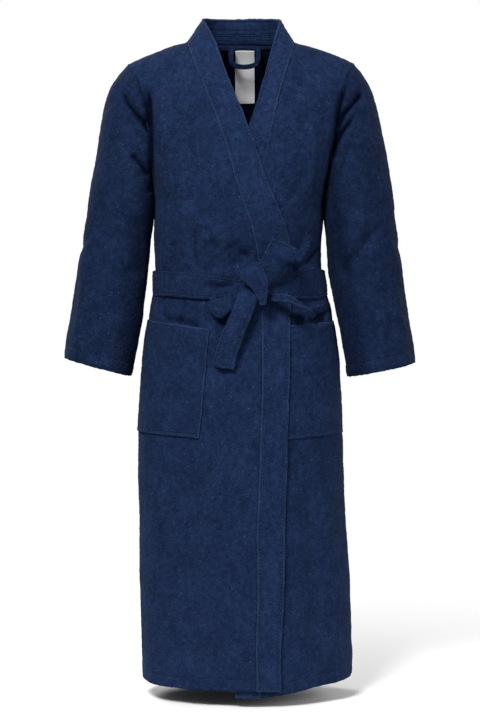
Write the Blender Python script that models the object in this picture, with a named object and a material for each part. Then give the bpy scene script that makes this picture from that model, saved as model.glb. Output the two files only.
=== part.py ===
"""Kimono robe in thick terry, filled out as worn, open in front and tied with its belt.

Metres, +Z up. The front faces -Y, and +X is the right-hand side seen from the front.
The origin lies between the shoulders, at the height where the neckband meets them.
Every panel is a wall built on one body surface: rows run from the hem to the shoulder
seam, columns from the opening to the side seam, and each wall is moved out from there.
"""
import math

import bmesh
import bpy
import numpy as np

# Cloth and gaps
CLOTH = 0.003
BAND = 0.005
BELT = 0.006
LABEL = 0.001
SEAM = 0.0003

# Heights on the body
HEM = -1.180
POCKET_LOW = -0.712
POCKET_TOP = -0.512
BELT_LOW = -0.466
BELT_TOP = -0.421
ARMPIT = -0.290
CHEST = -0.165
TIP = -0.042

# Shape of the body
ROUNDNESS = 2.2
ARM_DEPTH = 0.083
NECK_X = 0.100
NECK_BACK = 0.070
LAP_LIFT = 0.0072
LAP_RUN = 0.035
LAP_FULL = 0.004
HEM_FALL = 0.013
HEM_RISE = 0.012

# Body sections, measured outside the cloth: height, left, right, front, back
BODY = (
    (-1.180, 0.184, 0.208, 0.142, 0.142),
    (-1.000, 0.188, 0.203, 0.139, 0.142),
    (-0.860, 0.190, 0.194, 0.136, 0.141),
    (-0.712, 0.191, 0.188, 0.131, 0.138),
    (-0.586, 0.181, 0.180, 0.125, 0.134),
    (-0.512, 0.171, 0.169, 0.117, 0.122),
    (-0.470, 0.160, 0.152, 0.109, 0.112),
    (-0.443, 0.159, 0.151, 0.108, 0.111),
    (-0.416, 0.159, 0.150, 0.110, 0.113),
    (-0.381, 0.161, 0.147, 0.119, 0.119),
    (-0.335, 0.162, 0.150, 0.128, 0.124),
    (-0.290, 0.160, 0.153, 0.132, 0.128),
    (-0.165, 0.170, 0.169, 0.130, 0.128),
)
LEFT, RIGHT, FRONT, BACK = 1, 2, 3, 4

# Armhole, inside the cloth: height, left, right
ARMHOLE = (
    (-0.290, 0.157, 0.150),
    (-0.230, 0.160, 0.156),
    (-0.165, 0.167, 0.166),
    (-0.120, 0.176, 0.176),
    (-0.070, 0.190, 0.190),
    (-0.042, 0.208, 0.208),
)

# Top of the shoulder: distance from the middle, height
RIDGE = (
    (0.000, 0.024),
    (0.060, 0.013),
    (0.100, -0.001),
    (0.132, -0.010),
    (0.167, -0.023),
    (0.208, -0.042),
    (0.230, -0.053),
)

# Lines on the fronts: height, x. The stitch line joins panel and band.
STITCH_OVER = (
    (-1.180, 0.027),
    (-0.850, 0.030),
    (-0.580, 0.037),
    (-0.440, 0.033),
    (-0.366, 0.026),
    (-0.329, 0.017),
    (-0.251, -0.010),
    (-0.158, -0.038),
    (-0.074, -0.071),
    (-0.022, -0.093),
    (-0.001, -0.100),
)
STITCH_UNDER = (
    (-1.180, 0.036),
    (-0.850, 0.000),
    (-0.530, -0.012),
    (-0.366, -0.006),
    (-0.290, 0.018),
    (-0.214, 0.046),
    (-0.120, 0.064),
    (-0.070, 0.079),
    (-0.022, 0.093),
    (-0.001, 0.100),
)
OPEN_OVER = (
    (-1.180, 0.070),
    (-0.846, 0.078),
    (-0.530, 0.085),
    (-0.353, 0.080),
    (-0.251, 0.044),
    (-0.160, 0.013),
    (-0.100, -0.010),
)
OPEN_UNDER = (
    (-1.180, -0.010),
    (-0.850, -0.048),
    (-0.530, -0.062),
    (-0.366, -0.058),
    (-0.290, -0.036),
    (-0.220, -0.012),
    (-0.160, 0.0136),
    (-0.103, 0.034),
)
POCKET_EDGE = (
    (-0.712, 0.074),
    (-0.512, 0.056),
)

# Open edge of the band at the neck: height of the stitch line, then x, y, z of the edge
COLLAR_OVER = (
    (-0.122, -0.009, -0.1170, -0.103),
    (-0.083, -0.026, -0.1030, -0.060),
    (-0.048, -0.040, -0.0830, -0.020),
    (-0.022, -0.052, -0.0580, 0.010),
    (-0.006, -0.064, -0.0300, 0.033),
    (-0.001, -0.0735, -0.0010, 0.0455),
)
COLLAR_UNDER = (
    (-0.122, 0.032, -0.0930, -0.105),
    (-0.083, 0.0445, -0.0800, -0.060),
    (-0.048, 0.055, -0.0610, -0.020),
    (-0.022, 0.063, -0.0410, 0.010),
    (-0.006, 0.070, -0.0200, 0.033),
    (-0.001, 0.0760, 0.0020, 0.0455),
)
COLLAR_BACK = 0.064
COLLAR_TOP = 0.0475
COLLAR_SIDE = 0.0455

# Folds pressed into the body: face, x and z of both ends, half-width, depth
FOLDS = (
    (FRONT, -0.142, -0.340, -0.136, -0.425, 0.011, 0.0055),
    (FRONT, -0.118, -0.325, -0.108, -0.425, 0.010, 0.0050),
    (FRONT, -0.092, -0.345, -0.080, -0.425, 0.012, 0.0055),
    (FRONT, -0.062, -0.310, -0.050, -0.425, 0.015, 0.0040),
    (FRONT, -0.024, -0.330, 0.004, -0.420, 0.019, 0.0045),
    (FRONT, 0.132, -0.375, 0.112, -0.420, 0.010, 0.0070),
    (FRONT, 0.104, -0.320, 0.100, -0.420, 0.011, 0.0045),
    (FRONT, -0.128, -0.460, -0.134, -0.520, 0.012, 0.0040),
    (FRONT, -0.088, -0.460, -0.088, -0.530, 0.011, 0.0050),
    (FRONT, 0.002, -0.470, -0.004, -0.640, 0.021, 0.0040),
    (FRONT, 0.112, -0.460, 0.120, -0.520, 0.012, 0.0050),
    (FRONT, -0.110, -0.800, -0.122, -1.180, 0.030, 0.0050),
    (FRONT, -0.028, -0.820, -0.036, -1.180, 0.028, 0.0045),
    (FRONT, 0.138, -0.800, 0.150, -1.180, 0.030, 0.0055),
    (BACK, -0.138, -0.335, -0.128, -0.425, 0.012, 0.0060),
    (BACK, -0.100, -0.315, -0.092, -0.425, 0.012, 0.0070),
    (BACK, -0.058, -0.340, -0.054, -0.425, 0.011, 0.0055),
    (BACK, -0.012, -0.310, -0.010, -0.425, 0.012, 0.0070),
    (BACK, 0.032, -0.345, 0.034, -0.425, 0.011, 0.0050),
    (BACK, 0.074, -0.320, 0.070, -0.425, 0.012, 0.0065),
    (BACK, 0.118, -0.335, 0.108, -0.425, 0.012, 0.0060),
    (BACK, -0.120, -0.465, -0.132, -0.620, 0.014, 0.0060),
    (BACK, -0.072, -0.465, -0.080, -0.590, 0.013, 0.0050),
    (BACK, -0.020, -0.465, -0.024, -0.680, 0.015, 0.0060),
    (BACK, 0.036, -0.465, 0.042, -0.600, 0.013, 0.0050),
    (BACK, 0.086, -0.465, 0.098, -0.640, 0.014, 0.0060),
    (BACK, -0.090, -0.780, -0.104, -1.180, 0.034, 0.0070),
    (BACK, 0.012, -0.820, 0.014, -1.180, 0.036, 0.0060),
    (BACK, 0.116, -0.780, 0.132, -1.180, 0.034, 0.0070),
)

# Sleeve sections: place along, outer x and z, inner x and z, half-depth
SLEEVE_RIGHT = (
    (0.00, 0.210, -0.040, 0.1605, -0.290, 0.0850),
    (0.09, 0.244, -0.074, 0.1645, -0.318, 0.0845),
    (0.20, 0.2565, -0.125, 0.1665, -0.348, 0.0820),
    (0.35, 0.268, -0.193, 0.1695, -0.400, 0.0780),
    (0.55, 0.286, -0.305, 0.177, -0.464, 0.0730),
    (0.78, 0.308, -0.440, 0.1875, -0.545, 0.0670),
    (1.00, 0.329, -0.582, 0.203, -0.614, 0.0630),
)
SLEEVE_LEFT = (
    (0.00, 0.210, -0.040, 0.1535, -0.290, 0.0850),
    (0.09, 0.240, -0.074, 0.1545, -0.318, 0.0845),
    (0.20, 0.2545, -0.125, 0.1560, -0.348, 0.0820),
    (0.35, 0.268, -0.193, 0.1590, -0.400, 0.0780),
    (0.55, 0.286, -0.305, 0.168, -0.464, 0.0730),
    (0.78, 0.302, -0.440, 0.1850, -0.545, 0.0670),
    (1.00, 0.325, -0.590, 0.197, -0.616, 0.0630),
)

# Creases of the sleeves: side, face, distance from the middle and z of both ends, half-width, depth
SLEEVE_FOLDS = (
    (-1, FRONT, 0.226, -0.084, 0.186, -0.145, 0.010, 0.0070),
    (-1, FRONT, 0.206, -0.158, 0.172, -0.235, 0.012, 0.0080),
    (-1, FRONT, 0.221, -0.345, 0.203, -0.450, 0.014, 0.0060),
    (-1, BACK, 0.224, -0.110, 0.180, -0.190, 0.012, 0.0070),
    (-1, BACK, 0.236, -0.320, 0.206, -0.410, 0.014, 0.0060),
    (1, FRONT, 0.226, -0.087, 0.180, -0.156, 0.010, 0.0080),
    (1, FRONT, 0.214, -0.150, 0.168, -0.225, 0.012, 0.0070),
    (1, FRONT, 0.231, -0.305, 0.182, -0.420, 0.014, 0.0070),
    (1, BACK, 0.222, -0.115, 0.182, -0.200, 0.012, 0.0070),
    (1, BACK, 0.240, -0.330, 0.204, -0.430, 0.014, 0.0060),
)

# Strips of the tied belt: centre x, y, z, then half-width as a vector x, y, z
KNOT = (
    (0.0120, -0.1262, -0.4085, 0.0150, 0.0000, 0.0090),
    (0.0130, -0.1385, -0.4070, 0.0165, 0.0000, 0.0090),
    (0.0165, -0.1475, -0.4160, 0.0200, 0.0000, 0.0060),
    (0.0215, -0.1505, -0.4310, 0.0240, 0.0000, 0.0010),
    (0.0255, -0.1510, -0.4490, 0.0235, 0.0000, 0.0010),
    (0.0290, -0.1503, -0.4660, 0.0180, 0.0000, 0.0010),
    (0.0325, -0.1490, -0.4800, 0.0130, 0.0000, 0.0010),
)
END_UPPER = (
    (0.0420, -0.1236, -0.4400, 0.0120, 0.0000, 0.0080),
    (0.0530, -0.1340, -0.4290, 0.0160, 0.0020, 0.0100),
    (0.0630, -0.1430, -0.4110, 0.0190, 0.0020, 0.0090),
    (0.0710, -0.1465, -0.3920, 0.0225, 0.0030, 0.0040),
    (0.0795, -0.1440, -0.3690, 0.0240, 0.0040, -0.0100),
)
END_LOWER = (
    (0.0100, -0.1268, -0.4400, 0.0130, 0.0000, 0.0060),
    (0.0070, -0.1400, -0.4630, 0.0150, 0.0000, 0.0070),
    (-0.0020, -0.1440, -0.4880, 0.0180, 0.0000, 0.0080),
    (-0.0130, -0.1440, -0.5170, 0.0200, 0.0010, 0.0050),
    (-0.0240, -0.1420, -0.5500, 0.0200, 0.0010, 0.0030),
    (-0.0330, -0.1400, -0.5830, 0.0190, 0.0010, -0.0020),
)
LOOP_LEFT = (
    (-0.0060, -0.1275, -0.4520, 0.0000, 0.0000, 0.0130),
    (-0.0250, -0.1330, -0.4620, 0.0010, 0.0030, 0.0130),
    (-0.0450, -0.1340, -0.4700, 0.0030, 0.0020, 0.0130),
    (-0.0570, -0.1270, -0.4770, 0.0040, 0.0000, 0.0125),
)
LOOP_RIGHT = (
    (0.0480, -0.1240, -0.4580, 0.0000, 0.0010, 0.0080),
    (0.0620, -0.1320, -0.4620, 0.0000, 0.0040, 0.0080),
    (0.0800, -0.1370, -0.4650, -0.0010, 0.0040, 0.0080),
    (0.0980, -0.1370, -0.4730, -0.0040, 0.0040, 0.0080),
    (0.1140, -0.1330, -0.4860, -0.0060, 0.0030, 0.0070),
    (0.1290, -0.1240, -0.5060, -0.0060, 0.0020, 0.0060),
)
HANGER = (
    (-0.0180, -0.0060),
    (-0.0185, -0.0240),
    (-0.0130, -0.0360),
    (0.0070, -0.0400),
    (0.0270, -0.0370),
    (0.0330, -0.0240),
    (0.0320, -0.0060),
)
HANGER_Y = 0.0613
HANGER_HALF = 0.0048
HANGER_THICK = 0.0020
LABEL_X = (-0.011, 0.026)
LABEL_COLUMNS = 4
LABEL_GAP = 0.0006

# Counts of rows and columns
SKIRT_ROWS = 6
POCKET_ROWS = 4
HIP_ROWS = 2
BELT_ROWS = 2
WAIST_ROWS = 5
ARMHOLE_ROWS = 5
ARCH_ROWS = 6
NECK_COLUMNS = 10
SHOULDER_COLUMNS = 9
LAP_COLUMNS = 6
POCKET_COLUMNS = 8
SLEEVE_RINGS = 11
BELT_COLUMNS = 36
BAND_SHARES = (0.0, 0.35, 0.7, 0.95, 1.0)
BAND_WALL = (1.0, 1.0, 1.0, 0.9, 0.45)
BAND_FOOT = 0.0034

NAVY = (0.012, 0.018, 0.050, 1.0)
WHITE = (0.80, 0.80, 0.80, 1.0)


# Half steps of a normal: round the body, up it and over the shoulder
STEP_ROUND, STEP_UP, STEP_OVER = 0.004, 0.002, 0.02
HALVINGS = 36
TERRY_ROUGHNESS = 0.95
LABEL_ROWS = 5

# The belt climbs onto the band before the knot and comes down past the open edge
BELT_CLIMB_FROM, BELT_CLIMB_RUN = -0.040, 0.050
BELT_PAST_BAND, BELT_FALL_RUN = 0.004, 0.022
# Share of the belt's half width, and share of its thickness there
BELT_OUTLINE = ((-1.0, 0.6), (-0.75, 1.0), (0.75, 1.0), (1.0, 0.6))
# Cross-section of a strap, in half widths and thicknesses
STRAP_OUTLINE = (
    (-1.0, -0.25), (-0.88, -0.5), (0.88, -0.5), (1.0, -0.25),
    (1.0, 0.25), (0.88, 0.5), (-0.88, 0.5), (-1.0, 0.25),
)


def along(table, key, column):
    """Smooth value of one column where the first column reads key."""
    rows = np.array(table, dtype=float)
    keys, values = rows[:, 0], rows[:, column]
    slopes = np.gradient(values, keys)
    key = min(max(key, keys[0]), keys[-1])
    i = int(min(max(np.searchsorted(keys, key) - 1, 0), len(keys) - 2))
    span = keys[i + 1] - keys[i]
    t = (key - keys[i]) / span
    start = values[i] * (1 + 2 * t) * (1 - t) ** 2 + slopes[i] * span * t * (1 - t) ** 2
    end = values[i + 1] * t * t * (3 - 2 * t) + slopes[i + 1] * span * t * t * (t - 1)
    return float(start + end)


def smooth_step(value):
    value = min(max(value, 0.0), 1.0)
    return value * value * (3 - 2 * value)


def trough(x, z, folds):
    """Depth pressed in at one place of the front view by a list of soft straight folds."""
    total = 0.0
    for x0, z0, x1, z1, half, depth in folds:
        run_x, run_z = x1 - x0, z1 - z0
        t = ((x - x0) * run_x + (z - z0) * run_z) / (run_x ** 2 + run_z ** 2)
        t = min(max(t, 0.0), 1.0)
        away = math.hypot(x - x0 - t * run_x, z - z0 - t * run_z)
        total += depth * math.exp(-((away / half) ** 2))
    return total


def arm_x(sign, z):
    return along(ARMHOLE, z, LEFT if sign < 0 else RIGHT)


def section(face, sign, z):
    """Half-width, half-depth and end angle of a quarter of the body at a height."""
    deep = along(BODY, z, face) - CLOTH
    if z <= ARMPIT:
        return along(BODY, z, LEFT if sign < 0 else RIGHT) - CLOTH, deep, math.pi / 2
    drop = (z - CHEST) / (CHEST - ARMPIT)
    share = 1 - (ARM_DEPTH * math.sqrt(1 - drop ** 2) / deep) ** ROUNDNESS
    return arm_x(sign, z) / share ** (1 / ROUNDNESS), deep, math.asin(math.sqrt(share))


def last_turn(face, top_x, deep):
    """Angle at which a column ends: over the shoulder, or at the back's neck curve."""
    if face == FRONT or abs(top_x) >= NECK_X:
        return math.pi / 2
    neck_y = NECK_BACK * math.sqrt(1 - (top_x / NECK_X) ** 2)
    return math.acos(neck_y / deep)


def surface(face, s, z, v=0.0, folded=True):
    """Point of the body surface. s runs from -1 to 1 between the side seams or armholes.

    Up to the chest a row lies at height z. Above it v runs from 0 to 1 over the shoulder.
    """
    sign = -1 if s < 0 else 1
    wide, deep, limit = section(face, sign, z)
    angle = min(abs(s), 1.0) * limit
    x = wide * math.sin(angle) ** (2 / ROUNDNESS)
    y = deep * max(math.cos(angle), 0.0) ** (2 / ROUNDNESS)
    if v > 0:
        at_chest = arm_x(sign, CHEST)
        turn = v * last_turn(face, x * arm_x(sign, TIP) / at_chest, y)
        x *= arm_x(sign, CHEST + (TIP - CHEST) * math.sin(v * math.pi / 2)) / at_chest
        z = CHEST + (along(RIDGE, x, 1) - CHEST) * math.sin(turn)
        y *= math.cos(turn)
    x *= sign
    if folded:
        inward = trough(x, z, [fold[1:] for fold in FOLDS if fold[0] == face])
        shrink = 1 - inward / math.hypot(x, y)
        x, y = x * shrink, y * shrink
    way = -1 if face == FRONT else 1
    return np.array((x, way * (y + SEAM / 2), z))


def outward(face, s, z, v=0.0, folded=True):
    """Unit normal of the body surface, pointing out."""
    ahead, astern = min(s + STEP_ROUND, 1.0), max(s - STEP_ROUND, -1.0)
    side = surface(face, ahead, z, v, folded) - surface(face, astern, z, v, folded)
    if v > 0:
        above = surface(face, s, z, min(v + STEP_OVER, 1.0), folded)
        below = surface(face, s, z, v - STEP_OVER, folded)
    else:
        above = surface(face, s, min(z + STEP_UP, CHEST), v, folded)
        below = surface(face, s, z - STEP_UP, v, folded)
    normal = np.cross(side, above - below) * (1 if face == FRONT else -1)
    return normal / np.linalg.norm(normal)


def place_at(face, line, z, v=0.0):
    """s at which a row crosses a line given as x by height."""
    low, high = -1.0, 1.0
    for _ in range(HALVINGS):
        middle = (low + high) / 2
        x, _, height = surface(face, middle, z, v, folded=False)
        if x < line(height):
            low = middle
        else:
            high = middle
    return (low + high) / 2


def levels():
    """Rows of every panel, from the hem up: (z, v)."""
    marks = (
        (HEM, POCKET_LOW, SKIRT_ROWS),
        (POCKET_LOW, POCKET_TOP, POCKET_ROWS),
        (POCKET_TOP, BELT_LOW, HIP_ROWS),
        (BELT_LOW, BELT_TOP, BELT_ROWS),
        (BELT_TOP, ARMPIT, WAIST_ROWS),
    )
    rows = []
    for start, end, count in marks:
        rows += [(start + (end - start) * i / count, 0.0) for i in range(count)]
    for i in range(ARMHOLE_ROWS + 1):
        angle = math.pi / 2 * (i / ARMHOLE_ROWS - 1)
        rows.append((CHEST + (CHEST - ARMPIT) * math.sin(angle), 0.0))
    rows += [(CHEST, (i + 1) / ARCH_ROWS) for i in range(ARCH_ROWS)]
    return rows


LEVELS = levels()
FIRST_POCKET_ROW = SKIRT_ROWS
LAST_POCKET_ROW = SKIRT_ROWS + POCKET_ROWS
ARMPIT_ROW = len(LEVELS) - 1 - ARMHOLE_ROWS - ARCH_ROWS
LABEL_FIRST_ROW = len(LEVELS) - LABEL_ROWS


def lap_lift(x, z):
    """How far the over front stands off the body where the under front lies beneath it."""
    start = along(OPEN_UNDER, z, 1) - LAP_RUN
    return LAP_LIFT * smooth_step((x - start) / (LAP_RUN - LAP_FULL))


def panel(face, s_rows, lifted=False):
    """Inner points and normals of a panel, one row of s values for each level."""
    points, normals = [], []
    for (z, v), s_row in zip(LEVELS, s_rows):
        normal = [outward(face, s, z, v) for s in s_row]
        point = [surface(face, s, z, v) for s in s_row]
        if lifted:
            point = [p + n * lap_lift(p[0], p[2]) for p, n in zip(point, normal)]
        points.append(point)
        normals.append(normal)
    return np.array(points), np.array(normals)


def front_columns(stitch, edge_sign):
    """s values of a front: from the stitch line past the pocket's edge to the side."""
    def share(z):
        start = place_at(FRONT, lambda h: along(stitch, h, 1), z)
        edge = place_at(FRONT, lambda h: edge_sign * along(POCKET_EDGE, h, 1), z)
        return (edge - start) / (edge_sign - start)

    rows = []
    for z, v in LEVELS:
        start = place_at(FRONT, lambda h: along(stitch, h, 1), z, v)
        edge = start + (edge_sign - start) * share(min(max(z, POCKET_LOW), POCKET_TOP))
        lap = list(np.linspace(start, edge, LAP_COLUMNS + 1))
        rows.append(lap + list(np.linspace(edge, edge_sign, POCKET_COLUMNS + 1))[1:])
    return rows


def back_columns():
    """s values of the back, with a column at each end of the neck curve."""
    neck = place_at(BACK, lambda h: NECK_X, CHEST, 1.0)
    neck_left = place_at(BACK, lambda h: -NECK_X, CHEST, 1.0)
    row = list(np.linspace(-1, neck_left, SHOULDER_COLUMNS + 1))
    row += list(np.linspace(neck_left, neck, NECK_COLUMNS + 1))[1:]
    row += list(np.linspace(neck, 1, SHOULDER_COLUMNS + 1))[1:]
    return [row] * len(LEVELS)


def keep_side(points, face):
    """Hold a wall on its own side of the seams between front and back."""
    way = -1 if face == FRONT else 1
    points[..., 1] = way * np.maximum(way * points[..., 1], SEAM / 2)
    return points


def add_object(name, verts, faces, colour):
    """One closed body, faces out, with a material of its own."""
    mesh = bpy.data.meshes.new(name)
    mesh.from_pydata([tuple(map(float, v)) for v in verts], [], faces)
    work = bmesh.new()
    work.from_mesh(mesh)
    bmesh.ops.recalc_face_normals(work, faces=work.faces)
    work.to_mesh(mesh)
    work.free()
    mesh.shade_smooth()
    material = bpy.data.materials.new(name)
    material.use_nodes = True
    shader = material.node_tree.nodes["Principled BSDF"]
    shader.inputs["Base Color"].default_value = colour
    shader.inputs["Roughness"].default_value = TERRY_ROUGHNESS
    mesh.materials.append(material)
    piece = bpy.data.objects.new(name, mesh)
    bpy.context.scene.collection.objects.link(piece)
    return piece


def add_wall(name, inner, outer, wrap=False, colour=NAVY):
    """Closed wall between two grids of points. A wrapped grid is a tube."""
    rows, cols = inner.shape[:2]
    verts = np.concatenate([inner.reshape(-1, 3), outer.reshape(-1, 3)])
    shift = rows * cols

    def index(i, j):
        return i * cols + j % cols

    def split(a, b, c, d):
        return [(a, b, c), (a, c, d)]

    faces = []
    spans = cols if wrap else cols - 1
    for i in range(rows - 1):
        for j in range(spans):
            quad = (index(i, j), index(i, j + 1), index(i + 1, j + 1), index(i + 1, j))
            faces += split(*[k + shift for k in quad])
            faces += [tuple(reversed(face)) for face in split(*quad)]
    for j in range(spans):
        low = (index(0, j), index(0, j + 1))
        top = (index(rows - 1, j + 1), index(rows - 1, j))
        for a, b in (low, top):
            faces += split(a, b, b + shift, a + shift)
    if not wrap:
        for i in range(rows - 1):
            first = (index(i + 1, 0), index(i, 0))
            last = (index(i, cols - 1), index(i + 1, cols - 1))
            for a, b in (first, last):
                faces += split(a, b, b + shift, a + shift)
    return add_object(name, verts, faces, colour)


def add_strip(name, stations, thick, per_span=3, colour=NAVY):
    """Strap through stations of centre and half-width vector, with rounded long edges."""
    table = [(i, *row) for i, row in enumerate(stations)]
    count = (len(table) - 1) * per_span + 1
    keys = [i / per_span for i in range(count)]
    rows = np.array([[along(table, key, column) for column in range(1, 7)] for key in keys])
    centres, halves = rows[:, :3], rows[:, 3:]
    tangents = np.gradient(centres, axis=0)
    normals = np.cross(tangents, halves)
    normals /= np.linalg.norm(normals, axis=1)[:, None]
    sides = len(STRAP_OUTLINE)
    verts = []
    for centre, half, normal in zip(centres, halves, normals):
        verts += [centre + half * a + normal * b * thick for a, b in STRAP_OUTLINE]
    faces = []
    for i in range(count - 1):
        for j in range(sides):
            a, b = i * sides + j, i * sides + (j + 1) % sides
            faces += [(a, b, b + sides), (a, b + sides, a + sides)]
    last = (count - 1) * sides
    for j in range(1, sides - 1):
        faces += [(0, j + 1, j), (last, last + j, last + j + 1)]
    return add_object(name, verts, faces, colour)


def build_back():
    columns = back_columns()
    points, normals = panel(BACK, columns)
    points[0, :, 2] += HEM_RISE * np.maximum(columns[0], 0.0)
    outer = keep_side(points + normals * CLOTH, BACK)
    add_wall("back", points, outer)
    return points, normals, outer


def build_front(name, stitch, edge_sign, lifted):
    points, normals = panel(FRONT, front_columns(stitch, edge_sign), lifted)
    if not lifted:
        points[0, :, 2] += np.linspace(-HEM_FALL, HEM_RISE, points.shape[1])
    outer = keep_side(points + normals * CLOTH, FRONT)
    add_wall(name, points, outer)
    return points, normals, outer


def build_pocket(name, outer, normals):
    """Patch on a front's outer points, from the pocket's column to the side seam."""
    rows = slice(FIRST_POCKET_ROW, LAST_POCKET_ROW + 1)
    base = outer[rows, LAP_COLUMNS:]
    away = normals[rows, LAP_COLUMNS:]
    inner_face = keep_side(base + away * SEAM, FRONT)
    outer_face = keep_side(base + away * (SEAM + CLOTH), FRONT)
    add_wall(name, inner_face, outer_face)


def armhole_loop(front_edge, back_edge):
    """Outer points of the armhole, from the armpit up the front and down the back."""
    front = list(front_edge[ARMPIT_ROW:])
    back = list(back_edge[ARMPIT_ROW:])
    armpit = (front[0] + back[0]) / 2
    tip = (front[-1] + back[-1]) / 2
    return np.array([armpit] + front[1:-1] + [tip] + back[-2:0:-1])


def build_sleeve(name, side, table, loop):
    """Tube from the armhole to the cuff. Its first ring follows the armhole seam."""
    half_count = len(loop) // 2
    angles = [math.pi * (i / half_count - 0.5) for i in range(2 * half_count)]
    seam_x = side * loop[:, 0] + SEAM
    start = None
    rings = []
    for k in range(SLEEVE_RINGS + 1):
        t = k / SLEEVE_RINGS
        outer_x, outer_z, inner_x, inner_z, depth = (along(table, t, c) for c in range(1, 6))
        centre = np.array((outer_x + inner_x, 0.0, outer_z + inner_z)) / 2
        half = np.array((outer_x - inner_x, 0.0, outer_z - inner_z)) / 2
        deep = np.array((0.0, -depth, 0.0))
        ring = np.array([centre + half * math.sin(a) + deep * math.cos(a) for a in angles])
        if k == 0:
            seam = np.stack([seam_x, loop[:, 1], loop[:, 2]], axis=1)
            start = seam - ring
        ring = ring + start * (1 - t) ** 3
        if 0 < k < SLEEVE_RINGS:
            for point in ring:
                face = FRONT if point[1] < 0 else BACK
                folds = [f[2:] for f in SLEEVE_FOLDS if f[0] == side and f[1] == face]
                point[1] *= 1 - trough(point[0], point[2], folds) / depth
        rings.append(ring)
    outer = np.array(rings)
    round_way = np.roll(outer, -1, axis=1) - np.roll(outer, 1, axis=1)
    down_way = np.gradient(outer, axis=0)
    normals = np.cross(down_way, round_way)
    normals /= np.linalg.norm(normals, axis=2)[:, :, None]
    centres = outer.mean(axis=1, keepdims=True)
    if np.sum(normals * (outer - centres)) < 0:
        normals = -normals
    inner = outer - normals * CLOTH
    inner[0, :, 0] = np.maximum(inner[0, :, 0], seam_x)
    outer[..., 0] *= side
    inner[..., 0] *= side
    add_wall(name, inner, outer, wrap=True)


def band_point(x, z, share, lifted):
    """Middle of the band's wall on the body. Share runs from the stitch to the open edge."""
    s = place_at(FRONT, lambda h: x, z)
    point, normal = surface(FRONT, s, z), outward(FRONT, s, z)
    lift = lap_lift(point[0], z) if lifted else 0.0
    return point + normal * (lift + (CLOTH + (BAND - CLOTH) * share) / 2)


def band_rows(points, normals, stitch_collar, opening, lifted):
    """Rows of one arm of the neckband, from the hem to the shoulder: stitch to open edge."""
    foot = band_point(along(opening, CHEST, 1), CHEST, 1.0, lifted)
    collar = [(CHEST, *foot)] + list(stitch_collar)
    rows = []
    for (z, v), edge, normal in zip(LEVELS, points[:, 0], normals[:, 0]):
        stitched = edge + normal * CLOTH / 2
        if v == 0:
            open_x = along(opening, z, 1)
            row = [
                band_point(edge[0] + (open_x - edge[0]) * share, z, share, lifted)
                for share in BAND_SHARES
            ]
            row[0] = stitched
        else:
            opened = np.array([along(collar, edge[2], c) for c in (1, 2, 3)])
            row = [stitched + (opened - stitched) * share for share in BAND_SHARES]
        rows.append((np.array(row), normal, v == 0))
    if not lifted:
        rows[0][0][1:, 2] -= HEM_FALL
    return rows


def build_neckband(over, under, back):
    """One long doubled strip: up the over front, round the neck and down the under front."""
    right_arm = band_rows(over[0], over[1], COLLAR_OVER, OPEN_OVER, True)
    left_arm = band_rows(under[0], under[1], COLLAR_UNDER, OPEN_UNDER, False)
    neck = []
    for j in range(SHOULDER_COLUMNS + 1, SHOULDER_COLUMNS + NECK_COLUMNS):
        edge, normal = back[0][-1, j], back[1][-1, j]
        u = edge[0] / NECK_X
        bow = math.sqrt(max(1 - u * u, 0.0))
        open_x = u * (abs(COLLAR_OVER[-1][1]) if u < 0 else COLLAR_UNDER[-1][1])
        open_z = COLLAR_SIDE + (COLLAR_TOP - COLLAR_SIDE) * bow
        stitched = edge + normal * CLOTH / 2
        opened = np.array((open_x, COLLAR_BACK * bow, open_z))
        row = np.array([stitched + (opened - stitched) * share for share in BAND_SHARES])
        neck.append((row, normal, False))
    rows = right_arm + neck + left_arm[::-1]
    middle = np.array([row[0] for row in rows])
    lay = np.array([row[1] for row in rows])
    flat = [row[2] for row in rows]
    across = middle[:, 1] - middle[:, 0]
    across /= np.linalg.norm(across, axis=1)[:, None]
    tilt = np.abs(np.sum(across * lay, axis=1))[:, None]
    foot = across * (SEAM + BAND_FOOT * tilt)
    fade = 1 - np.array(BAND_SHARES)[None, :, None]
    middle = middle + foot[:, None, :] * fade
    normals = np.cross(np.gradient(middle, axis=1), np.gradient(middle, axis=0))
    normals /= np.linalg.norm(normals, axis=2)[:, :, None]
    if normals[0, 0, 1] > 0:
        normals = -normals
    normals[flat, 0] = lay[flat]
    wall = normals * np.array(BAND_WALL)[None, :, None] * BAND / 2
    add_wall("neckband", middle - wall, middle + wall)


def belt_rise(face, x):
    """Gap from the body surface to the belt's inner side: it passes over the band."""
    if face == BACK:
        return CLOTH
    over_panel = CLOTH + lap_lift(x, (BELT_LOW + BELT_TOP) / 2)
    band_end = along(OPEN_OVER, BELT_TOP, 1)
    past_band = smooth_step((x - band_end - BELT_PAST_BAND) / BELT_FALL_RUN)
    on_band = smooth_step((x - BELT_CLIMB_FROM) / BELT_CLIMB_RUN)
    return (over_panel + (BAND - CLOTH) * on_band) * (1 - past_band) + CLOTH * past_band


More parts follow.
